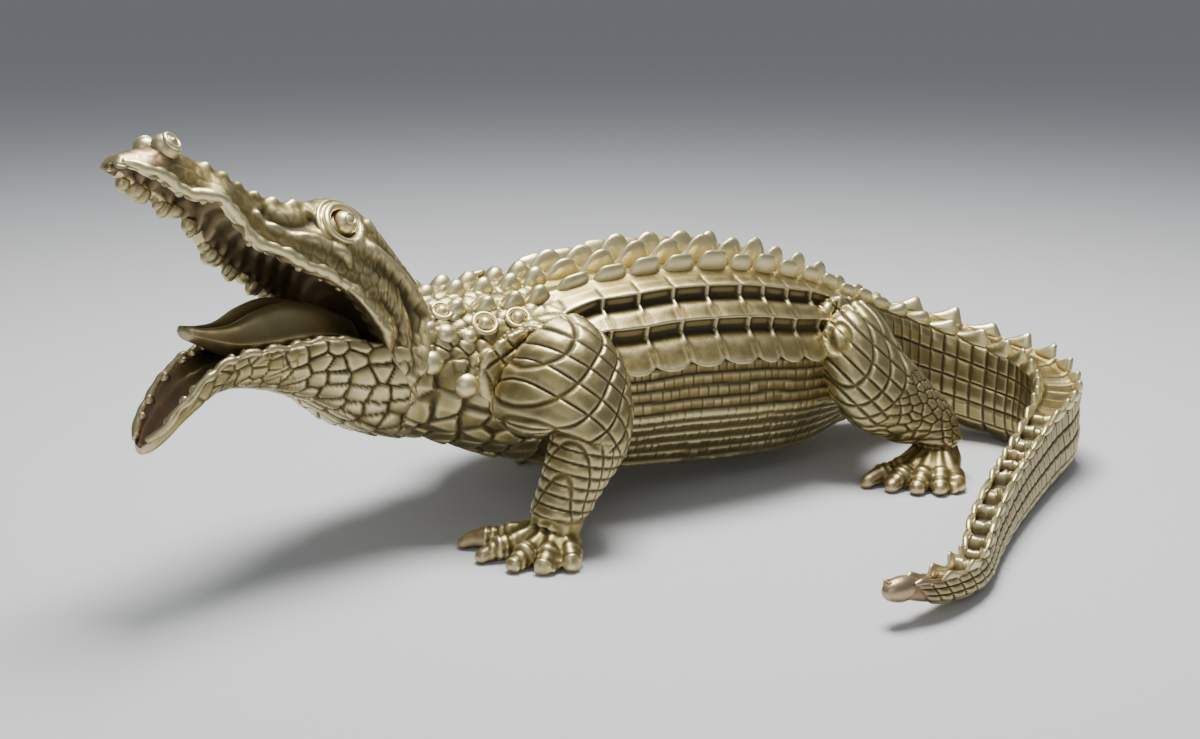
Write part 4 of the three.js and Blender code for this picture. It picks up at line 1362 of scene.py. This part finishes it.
    def teeth(self) -> list[Shell]:
        """Blunt teeth and gum lumps of changing size along each side, longer on the right."""
        shells = []
        for side in Side:
            near = side is Side.LEFT
            count = 9 if near else 17
            for i in range(count):
                f = 42 + (124 - 42) * i / (count - 1) + 1.6 * math.sin(i * 2.4 + side.value)
                values = spline(SKULL, np.array(f))
                length = (2.4 if near else 5.6) * (0.6 + 0.4 * abs(math.sin(i * 1.9 + 0.6)))
                root = np.array([f, side.value * values[0] * 0.82, values[2] + 0.6])
                path = self.frame.place(root + np.linspace(0, 1, 9)[:, None] * np.array(
                    [0.9 * math.sin(i * 3.1), side.value * 0.4, -length]))
                stout = (1.5 if near else 2.9) * (0.85 + 0.25 * math.sin(i * 4.7))
                thick = stout * np.sqrt(np.clip(1 - np.linspace(0, 0.985, 9) ** 2.6, 0, 1)) + 0.15
                # painted shade mixed with patina on the teeth inside the mouth
                shells.append(rope(path, thick, 12, worn=0.55, warm=0.1, dark=0.15))
        return shells

    def eyes(self) -> list[Shell]:
        """A ball in an almond ring of lids, with a second fold round it, on each side."""
        shells = []
        for side in Side:
            flip = np.array([1, side.value, 1])
            centre = np.array(self.eye) * flip
            axes = self.frame.axes()
            seat = centre + np.array([-1.6, -0.3 * side.value, 0.9])
            shells.append(egg(self.frame.place(seat), axes[[0, 2, 1]], (self.ball, self.ball, self.ball * 0.95),
                              (26, 18), worn=0.7))
            look = unit(np.array([0.25, 0.85 * side.value, 0.3]))
            flat_a = unit(np.cross(look, [0, 0, 1.0]))
            flat_b = np.cross(look, flat_a)
            dial = np.linspace(0, 2 * np.pi, 26, endpoint=False)[:, None]
            iris = seat + look * 4.45 + 2.1 * (flat_a * np.cos(dial) + flat_b * np.sin(dial))
            shells.append(rope(self.frame.place(iris), np.full(26, 0.42), 8, closed=True, worn=0.9))
            turn = np.linspace(0, 2 * np.pi, 48, endpoint=False)[:, None]
            lean = math.radians(40)
            long_way = np.array([math.cos(lean), 0.18 * side.value, -math.sin(lean)])
            high_way = np.array([math.sin(lean), -0.5 * side.value, math.cos(lean)])
            for reach, thick, out in ((1.12, 1.35, 1.5), (1.45, 0.8, -0.3)):
                almond = (long_way * 8.3 * np.cos(turn) + high_way * 5.9 * np.sin(turn) * np.abs(np.sin(turn)) ** 0.1)
                path = centre + np.array([0, out * side.value, 0]) + reach * almond
                shells.append(rope(self.frame.place(path), thick + 0.25 * np.sin(turn[:, 0]), 10, closed=True,
                                   worn=0.85))
        return shells

    def nostrils(self) -> list[Shell]:
        """A raised ring with a sunken button on each side of the snout's tip."""
        shells = []
        axes = self.frame.axes()
        for side in Side:
            look = unit(np.array([0.1, 0.8 * side.value, 0.6]))
            flat_a = unit(np.cross(look, [0, 0, 1.0]))
            flat_b = np.cross(look, flat_a)
            centre = np.array([121.5, 4.6 * side.value, 15.6])
            shells.append(egg(self.frame.place(centre), axes, (5.4, 4.4, 4.6), (22, 14), worn=0.7, warm=0.2))
            turn = np.linspace(0, 2 * np.pi, 28, endpoint=False)[:, None]
            path = centre + look * 3.3 + 3.0 * (flat_a * np.cos(turn) + flat_b * np.sin(turn))
            shells.append(rope(self.frame.place(path), np.full(28, 1.0), 10, closed=True, worn=0.85))
            shells.append(egg(self.frame.place(centre + look * 3.2), axes, (1.7, 1.7, 1.7), (14, 9), worn=0.6,
                              warm=0.5))
        return shells

    def shells(self) -> list[Shell]:
        """All of the upper head."""
        return [self.skull()] + self.lips() + self.teeth() + self.eyes() + self.nostrils()


@dataclass
class LowerJaw:
    """Lower jaw with its trough, rim, teeth and tongue."""

    frame: JawFrame = field(default_factory=lambda: LOWER)
    pitch: float = 0.75

    def jaw(self) -> Shell:
        """The jaw: rounded rings along it; large overlapping scales outside, a smooth trough inside."""
        along = np.linspace(-14, 106.5, int(120.5 / self.pitch))
        values = spline(JAW, along)
        half, rim, under, depth = (values[:, [k]] for k in range(4))
        floor = np.stack([half * np.array(TROUGH)[:, 0], rim - depth * np.array(TROUGH)[:, 1]], -1)
        side = np.stack([half * np.array(JAW_SIDE)[:, 0], rim + (rim - under) * np.array(JAW_SIDE)[:, 1]], -1)
        corners = mirrored(np.concatenate([floor, side], axis=1))
        count = corners.shape[1]
        place = np.linspace(0, count, 190, endpoint=False)
        ring = round_curve(corners, place)
        local = np.concatenate([np.broadcast_to(along[:, None, None], ring.shape[:2] + (1,)), ring], axis=2)
        normals = ring_normals(local)
        f = local[..., 0]
        fold = np.minimum(place, count - place)[None, :] + 0 * f
        outside = ease(2.7, 3.4, fold)
        steps = np.linalg.norm(np.diff(ring, axis=1), axis=2)
        arc = np.concatenate([np.zeros((len(along), 1)), np.cumsum(steps, axis=1)], axis=1)
        total = arc[:, -1:] + 1.0
        arc = np.minimum(arc, total - arc)
        cells = pebbles(f / 8.2 + 0.3, arc / 6.8, 61.0, 0.6)
        leaf = ease(0.0, 0.22, cells.gap) * (0.75 + 0.25 * cells.pick - 0.6 * cells.along - 0.8 * cells.near ** 2) - 0.3
        small = pebbles(f / 5.2, arc / 4.8, 63.0)
        bead = ease(0.0, 0.22, small.gap) * (0.6 + 0.4 * small.pick - 0.6 * small.near ** 2) - 0.25
        mix = ease(70, 40, f)
        height = outside * (1.6 * leaf * mix + 0.7 * bead * (1 - mix) * ease(96, 84, f))
        points = self.frame.place(local + normals * height[..., None])
        worn = 0.4 + 0.25 * outside
        warm = 0.75 * ease(78, 98, f) * ease(3.4, 2.2, fold) + 0.25 * (1 - outside)
        # the trough inside the jaw gets painted shade mixed with patina
        return shell_of_rings(points, worn, np.clip(warm, 0, 1), 0.2 * (1 - outside))

    def rim(self) -> list[Shell]:
        """A lumpy roll along each side's rim, which meets at the tip."""
        shells = []
        for side in Side:
            f = np.linspace(22, 105.5, 120)
            values = spline(JAW, f)
            wave = 0.5 * np.sin(f * 2 * np.pi / 9.5 + side.value)
            path = np.stack([f, side.value * values[:, 0] * 0.93, values[:, 1] + 0.2 + wave], axis=-1)
            thick = 1.5 + 0.2 * np.sin(f * 2 * np.pi / 8.2 + side.value) + 0.15 * np.sin(f * 1.3)
            shells.append(rope(self.frame.place(path), thick, 12, worn=0.6, warm=0.2))
        return shells

    def teeth(self) -> list[Shell]:
        """Small blunt teeth along the rim, with gaps."""
        shells = []
        for side in Side:
            for i in range(11):
                f = 36 + 6.4 * i + 1.6 * math.sin(i * 1.7 + side.value)
                values = spline(JAW, np.array(f))
                length = 0.9 + 1.3 * abs(math.sin(i * 2.2 + 0.4))
                root = np.array([f, side.value * values[0] * 0.8, values[1] - 0.9])
                path = self.frame.place(root + np.linspace(0, 1, 8)[:, None] * np.array(
                    [0.3, side.value * 0.5, length + 0.8]))
                thick = 1.8 * np.sqrt(np.clip(1 - np.linspace(0, 0.985, 8) ** 2.8, 0, 1)) + 0.12
                shells.append(rope(path, thick, 10, worn=0.55, warm=0.25))
        return shells

    def tongue(self) -> Shell:
        """A smooth leaf with a groove along its middle and a tip that turns up."""
        along = np.linspace(16, 84, 100)
        values = spline(TONGUE, along)
        half, top, under = (values[:, [k]] for k in range(3))
        shape = np.array(TONGUE_HALF)
        profile = np.stack([half * shape[:, 0], under + (top - under) * shape[:, 1]], -1)
        place = np.linspace(0, 2 * (len(shape) - 1), 72, endpoint=False)
        ring = round_curve(mirrored(profile), place)
        local = np.concatenate([np.broadcast_to(along[:, None, None], ring.shape[:2] + (1,)), ring], axis=2)
        # the tongue gets painted shade mixed with patina
        return shell_of_rings(self.frame.place(local), 0.25, 0.1, 0.25)

    def shells(self) -> list[Shell]:
        """All of the lower head."""
        return [self.jaw(), self.tongue()] + self.rim() + self.teeth()


@dataclass
class Leg:
    """A finished leg: the rough skins melted into one, with scales, cuff, tendons and wrinkles raised."""

    limb: Limb
    spine: Spine
    blend: float = 7.0

    def shell(self) -> Shell:
        """The melted leg with its relief."""
        points, quads, normals = remesh(self.limb.rough_shells(), self.limb.voxel, 7)
        path, _ = self.limb.middle_line(80)
        along = unit(np.gradient(path, axis=0))
        travel = np.concatenate([[0.0], np.cumsum(np.linalg.norm(np.diff(path, axis=0), axis=1))])
        nearest = np.argmin(((points[:, None] - path[None]) ** 2).sum(-1), axis=1)
        offset = points - path[nearest]
        s = travel[nearest] + np.einsum("ij,ij->i", offset, along[nearest])
        height, worn, warm, dark = self.relief(points, s, travel[-1])
        gap = self.spine.flank_gap(points)
        gap = np.where(points[:, 2] > 12, gap, 99.0)
        swell = np.maximum(self.blend - np.maximum(gap, -1.0), 0) ** 2 / (4 * self.blend)
        height = height * ease(-1.0, 4.0, gap) + swell
        points = points + normals * height[:, None]
        points[:, 2] = np.maximum(points[:, 2], 0.0)
        return outward(Shell(points, quads, np.zeros((0, 3), int), worn, warm, dark))

    def relief(self, points: Array, s: Array, length: float) -> tuple[Array, Array, Array, Array]:
        """Relief and finish from the place on the limb.

        Args:
            points: Points of the melted leg.
            s: Distance down the limb's middle line.
            length: Length of the middle line.

        Returns:
            Height, worn share, warm share, and share of painted shade under the claws.
        """
        x, y, z = points[:, 0], np.abs(points[:, 1]), points[:, 2]
        lean = math.radians(-38 if self.limb.hind else 32)
        u = x * math.cos(lean) + z * math.sin(lean) - 0.55 * y
        v = z * math.cos(lean) - x * math.sin(lean) + 0.35 * y
        bend = 0.22 * drift(u / 16, v / 16, 3.0)
        size = (6.2, 6.0) if self.limb.hind else (8.4, 7.2)
        big = pillow(u / size[0] + bend, v / size[1] + bend, size, 0.95, 0.45)
        small = pillow((x - 0.8 * y) / 5.2 + bend, (z + 0.25 * x) / 4.7, (5.2, 4.7), 0.8, 0.45)
        lower = ease(0.56 * length, 0.62 * length, s)
        foot = ease(19.0, 12.0, z)
        cuff = np.exp(-((z - 17.5) / 1.6) ** 2)
        pebble = pebbles((x - 0.8 * y) / 4.2, z / 4.0, 12.0)
        shin = 0.9 * ease(0.0, 0.25, pebble.gap) * (1.1 - pebble.near ** 2)
        forearm = shin if self.limb.hind else 0.9 * small
        height = 1.2 * big * (1 - lower) + forearm * lower
        height = height * (1 - foot) + 0.5 * cuff + foot * self.foot_relief(points)
        worn = 0.35 + 0.3 * foot + 0.1 * (1 - lower)
        reach = self.toe_reach(points)
        warm = 0.5 * foot * ease(0.86, 1.0, reach)
        # painted shade on the claws' tips where they come down near the ground
        dark = 0.5 * foot * ease(2.6, 0.8, points[:, 2]) * ease(0.8, 0.95, reach)
        return height, worn, warm, dark

    def toe_reach(self, points: Array) -> Array:
        """Share of the way from the heel to the toes' tips on the ground."""
        heel = self.limb.place([*self.limb.heel, 0.0])
        tips = self.limb.place([[x, y, 0.0] for x, y in self.limb.toes])
        away = np.linalg.norm(points[:, :2] - heel[:2], axis=1)
        return away / np.linalg.norm(tips[:, :2] - heel[:2], axis=1).mean()

    def foot_relief(self, points: Array) -> Array:
        """Fine wrinkles across the toes and shallow grooves between the tendons."""
        reach = self.toe_reach(points)
        heel = self.limb.place([*self.limb.heel, 0.0])
        bearing = np.arctan2(points[:, 1] - heel[1], points[:, 0] - heel[0])
        wrinkle = 0.22 * np.sin(reach * 62 + 0.6 * np.sin(bearing * 9)) * ease(0.5, 0.75, reach) * ease(1.02, 0.9, reach)
        tips = self.limb.place([[x, y, 0.0] for x, y in self.limb.toes])
        lines = np.arctan2(tips[:, 1] - heel[1], tips[:, 0] - heel[0])
        off = np.abs(np.mod(bearing[:, None] - lines[None] + np.pi, 2 * np.pi) - np.pi).min(axis=1)
        tendon = 0.7 * np.exp(-(off / 0.13) ** 2) * ease(0.15, 0.4, reach) * ease(0.95, 0.7, reach)
        return wrinkle + tendon - 0.2


@dataclass(frozen=True)
class BronzeFinish:
    """Colours of the cast bronze, among them a painted shade and a painted highlight, as linear red, green and blue,
    and how rough it is.
    """

    # near-black brown for painted shade in hollows, recesses and the mouth, mixed with the patina there
    hollow: tuple[float, float, float] = (0.030, 0.021, 0.008)
    olive: tuple[float, float, float] = (0.135, 0.103, 0.034)
    brass: tuple[float, float, float] = (0.36, 0.282, 0.105)
    # painted highlight on proud edges, mixed with worn bright metal
    bright: tuple[float, float, float] = (0.80, 0.70, 0.40)
    red: tuple[float, float, float] = (0.33, 0.21, 0.155)
    smooth: float = 0.40
    dull: float = 0.62

    def patina_and_painted_light_group(self) -> "bpy.types.NodeTree":
        """Node group that mixes the metal's colour and roughness from its wear and from its painted shade and
        highlight.

        Worn metal goes from olive to brass, and its proud edges go to bright as a painted highlight on worn metal;
        hollows and dark places go to brown as painted shade on the patina, warm places to red, and two noises make the
        patina uneven.

        Returns:
            The group.
        """
        tree = bpy.data.node_groups.new("patina", "ShaderNodeTree")
        for name, kind in (("Place", "NodeSocketVector"), ("Hollow", "NodeSocketFloat"),
                           ("Proud", "NodeSocketFloat"), ("Worn", "NodeSocketFloat"),
                           ("Warm", "NodeSocketFloat"), ("Dark", "NodeSocketFloat")):
            tree.interface.new_socket(name=name, in_out="INPUT", socket_type=kind)
        for name, kind in (("Color", "NodeSocketColor"), ("Roughness", "NodeSocketFloat"),
                           ("Metallic", "NodeSocketFloat"), ("Height", "NodeSocketFloat")):
            tree.interface.new_socket(name=name, in_out="OUTPUT", socket_type=kind)
        desk = NodeDesk(tree)
        given = tree.nodes.new("NodeGroupInput").outputs
        blotch = desk.noise(given["Place"], 38.0, 4.0)
        cloud = desk.noise(given["Place"], 11.0, 2.0)
        grain = desk.noise(given["Place"], 900.0, 3.0)
        pits = desk.noise(given["Place"], 260.0, 2.0)
        uneven = desk.math("MULTIPLY_ADD", blotch, 0.7, -0.35)
        wear = desk.math("ADD", given["Worn"], uneven, clamp=True)
        color = desk.mix(wear, self.olive, self.brass)
        tone = desk.math("MULTIPLY_ADD", cloud, 1.4, -0.45, clamp=True)
        color = desk.mix(desk.math("MULTIPLY", tone, 0.35), color, (0.30, 0.215, 0.11))
        # painted highlight: proud edges lift towards the bright colour, more where the metal is worn
        lift = desk.math("MULTIPLY", given["Proud"], desk.math("MULTIPLY_ADD", wear, 0.7, 0.35), clamp=True)
        color = desk.mix(lift, color, self.bright)
        color = desk.mix(desk.math("MULTIPLY", given["Warm"], desk.math("MULTIPLY_ADD", blotch, 0.8, 0.4),
                                   clamp=True), color, self.red)
        # painted shade, mixed with patina: hollows and dark places sink towards the near-black brown
        sunk = desk.math("MAXIMUM", given["Hollow"], desk.math("MULTIPLY", given["Dark"], 0.75))
        sunk = desk.math("MULTIPLY", sunk, desk.math("MULTIPLY_ADD", blotch, 0.6, 0.62), clamp=True)
        color = desk.mix(sunk, color, self.hollow)
        rough = desk.math("MULTIPLY_ADD", sunk, self.dull - self.smooth, self.smooth)
        rough = desk.math("ADD", rough, desk.math("MULTIPLY_ADD", pits, 0.24, -0.12), clamp=True)
        metal = desk.math("MULTIPLY_ADD", sunk, -0.6, 1.0)
        height = desk.math("ADD", desk.math("MULTIPLY", pits, 0.6), desk.math("MULTIPLY", grain, 0.4))
        result = tree.nodes.new("NodeGroupOutput").inputs
        tree.links.new(color, result["Color"])
        tree.links.new(rough, result["Roughness"])
        tree.links.new(metal, result["Metallic"])
        tree.links.new(height, result["Height"])
        return tree

    def material(self) -> "bpy.types.Material":
        """The bronze: the group of patina, painted shade and painted highlight over the piece's own wear values, with a
        fine cast grain.
        """
        material = bpy.data.materials.new("cast bronze")
        material.use_nodes = True
        tree = material.node_tree
        shader = tree.nodes["Principled BSDF"]
        group = tree.nodes.new("ShaderNodeGroup")
        group.node_tree = self.patina_and_painted_light_group()
        where = tree.nodes.new("ShaderNodeTexCoord")
        tree.links.new(where.outputs["Object"], group.inputs["Place"])
        for label in ("hollow", "proud", "worn", "warm", "dark"):
            value = tree.nodes.new("ShaderNodeAttribute")
            value.attribute_name = label
            tree.links.new(value.outputs["Fac"], group.inputs[label.capitalize()])
        bump = tree.nodes.new("ShaderNodeBump")
        bump.inputs["Strength"].default_value = 0.25
        bump.inputs["Distance"].default_value = 0.0006
        tree.links.new(group.outputs["Height"], bump.inputs["Height"])
        tree.links.new(bump.outputs["Normal"], shader.inputs["Normal"])
        tree.links.new(group.outputs["Color"], shader.inputs["Base Color"])
        tree.links.new(group.outputs["Roughness"], shader.inputs["Roughness"])
        tree.links.new(group.outputs["Metallic"], shader.inputs["Metallic"])
        return material


@dataclass
class NodeDesk:
    """Short ways to add nodes to a tree."""

    tree: "bpy.types.NodeTree"

    def feed(self, socket: "bpy.types.NodeSocket", value: object) -> None:
        """Links a socket to another, or sets its value."""
        if isinstance(value, bpy.types.NodeSocket):
            self.tree.links.new(value, socket)
        elif isinstance(value, tuple):
            socket.default_value = (*value, 1.0)
        else:
            socket.default_value = value

    def noise(self, place: "bpy.types.NodeSocket", scale: float, detail: float) -> "bpy.types.NodeSocket":
        """Noise over a place, from 0 to 1."""
        node = self.tree.nodes.new("ShaderNodeTexNoise")
        node.inputs["Scale"].default_value = scale
        node.inputs["Detail"].default_value = detail
        self.tree.links.new(place, node.inputs["Vector"])
        return node.outputs["Fac"]

    def math(self, kind: str, *values: object, clamp: bool = False) -> "bpy.types.NodeSocket":
        """One sum of numbers or sockets."""
        node = self.tree.nodes.new("ShaderNodeMath")
        node.operation = kind
        node.use_clamp = clamp
        for socket, value in zip(node.inputs, values):
            self.feed(socket, value)
        return node.outputs[0]

    def mix(self, share: object, first: object, second: object) -> "bpy.types.NodeSocket":
        """A colour between two others."""
        node = self.tree.nodes.new("ShaderNodeMix")
        node.data_type = "RGBA"
        self.feed(node.inputs["Factor"], share)
        colours = [socket for socket in node.inputs if socket.type == "RGBA"]
        self.feed(colours[0], first)
        self.feed(colours[1], second)
        return next(socket for socket in node.outputs if socket.type == "RGBA")


@dataclass
class Studio:
    """Floor, lights and camera."""

    camera_place: tuple[float, float, float] = (-0.30316, -0.49568, 0.21745)
    forward: tuple[float, float, float] = (0.4674, 0.8453, -0.2588)
    lens: float = 45.0
    sensor: float = 36.0

    def floor(self) -> None:
        """A plain pale floor."""
        mesh = bpy.data.meshes.new("floor")
        reach = 14.0
        mesh.from_pydata([(-reach, -reach, 0), (reach, -reach, 0), (reach, reach, 0), (-reach, reach, 0)], [],
                         [(0, 1, 2, 3)])
        material = bpy.data.materials.new("pale floor")
        material.use_nodes = True
        shader = material.node_tree.nodes["Principled BSDF"]
        shader.inputs["Base Color"].default_value = (0.62, 0.63, 0.65, 1)
        shader.inputs["Roughness"].default_value = 0.85
        mesh.materials.append(material)
        floor = bpy.data.objects.new("floor", mesh)
        bpy.context.scene.collection.objects.link(floor)

    def area(self, name: str, place: tuple[float, float, float], size: float, power: float,
             tint: tuple[float, float, float]) -> None:
        """A soft square light that looks at the object's middle."""
        light = bpy.data.lights.new(name, "AREA")
        light.size = size
        light.energy = power
        light.color = tint
        lamp = bpy.data.objects.new(name, light)
        bpy.context.scene.collection.objects.link(lamp)
        lamp.matrix_world = looking(place, np.array([0.0, 0.0, 0.06]) - np.array(place))

    def light(self) -> None:
        """One broad lamp overhead, slightly behind, a weak one in front, and an even pale surround."""
        self.area("overhead", (0.08, 0.14, 0.95), 0.42, 19.0, (1.0, 0.985, 0.95))
        self.area("front fill", (-0.9, -1.1, 0.75), 0.9, 3.4, (0.93, 0.96, 1.0))
        world = bpy.data.worlds.new("surround")
        world.use_nodes = True
        sky = world.node_tree.nodes["Background"]
        sky.inputs["Color"].default_value = (0.80, 0.84, 0.90, 1)
        sky.inputs["Strength"].default_value = 0.28
        bpy.context.scene.world = world

    def camera(self) -> None:
        """The camera at the photograph's angle."""
        data = bpy.data.cameras.new("camera")
        data.lens = self.lens
        data.sensor_width = self.sensor
        camera = bpy.data.objects.new("camera", data)
        bpy.context.scene.collection.objects.link(camera)
        camera.matrix_world = looking(self.camera_place, np.array(self.forward))
        bpy.context.scene.camera = camera

    def build(self) -> None:
        """Everything that isn't the object."""
        self.camera()
        self.light()
        self.floor()


def looking(place: Sequence[float], forward: Array) -> "mathutils.Matrix":
    """Matrix of a lamp or camera that stands at a place, looks along forward and keeps the horizon level."""
    ahead = unit(np.asarray(forward, float))
    right = unit(np.cross(ahead, [0.0, 0.0, 1.0]))
    up = np.cross(right, ahead)
    matrix = np.eye(4)
    matrix[:3, 0], matrix[:3, 1], matrix[:3, 2], matrix[:3, 3] = right, up, -ahead, place
    return mathutils.Matrix(matrix.tolist())


def limbs() -> list[Limb]:
    """The four legs; the right front one stands a step further back."""
    front = dict(line=FRONT_LIMB, toes=FRONT_TOES, heel=(-78.0, -61.0), toe_radius=4.4, foot_high=1.0,
                 foot_wide=3.0, hind=False)
    hind = dict(line=HIND_LIMB, toes=HIND_TOES, heel=(111.0, -61.0), toe_radius=4.6, foot_high=1.12,
                foot_wide=5.0, hind=True)
    return [
        Limb("crocodile_left_front_leg", side=Side.LEFT, step=0.0, voxel=0.62, **front),
        Limb("crocodile_left_hind_leg", side=Side.LEFT, step=0.0, voxel=0.62, **hind),
        Limb("crocodile_right_front_leg", side=Side.RIGHT, step=64.0, voxel=0.8, **front),
        Limb("crocodile_right_hind_leg", side=Side.RIGHT, step=0.0, voxel=0.8, **hind),
    ]


TRUNK_SIDES = [7.4, 6.5, 7.7, 7.8, 5.7, 6.6, 11.3, 6.8, 12.9, 5.5, 22.0, 27.0, 20.0]
TAIL_SIDES = [7.2, 4.0, 3.4, 4.4, 5.6, 6.0, 6.0, 6.0, 6.0, 6.0, 6.6, 8.0, 7.0]
BLADE_SIDES = [3.6, 2.4, 2.4, 2.4, 3.8, 4.2, 4.2, 4.2, 4.2, 4.2, 4.2, 4.2, 3.4]


def main() -> None:
    """Builds the pieces in order."""
    logging.basicConfig(level=logging.INFO, format="%(message)s")
    Studio().build()
    finish = BronzeFinish().material()
    spine = Spine()
    relief = Relief(spine, Bands())
    legs = limbs()
    skins = [
        SpineSkin("crocodile_trunk", -1.0, 214.0, 0.78, TRUNK_SIDES, 0.95, spine, relief, legs),
        SpineSkin("crocodile_tail_root", 213.4, 352.0, 0.72, TAIL_SIDES, 0.72, spine, relief, legs),
        SpineSkin("crocodile_tail_blade", 351.4, spine.length, 0.62, BLADE_SIDES, 0.62, spine, relief),
    ]
    for skin in skins:
        parts = [skin.shell()]
        if skin.end == spine.length:
            parts.append(egg(np.array([-6.0, -176.0, 12.6]), np.eye(3)[[1, 2, 0]], (4.3, 4.6, 8.0), (22, 16), 0.5, 0.75))
        Piece(skin.name, parts).build(finish)
    Piece("crocodile_crest", Crest(spine, relief.bands).shells()).build(finish)
    Piece("crocodile_upper_jaw", UpperJaw().shells()).build(finish)
    Piece("crocodile_lower_jaw", LowerJaw().shells()).build(finish)
    for limb in legs:
        Piece(limb.name, [Leg(limb, spine).shell()]).build(finish)


if __name__ == "__main__":
    main()
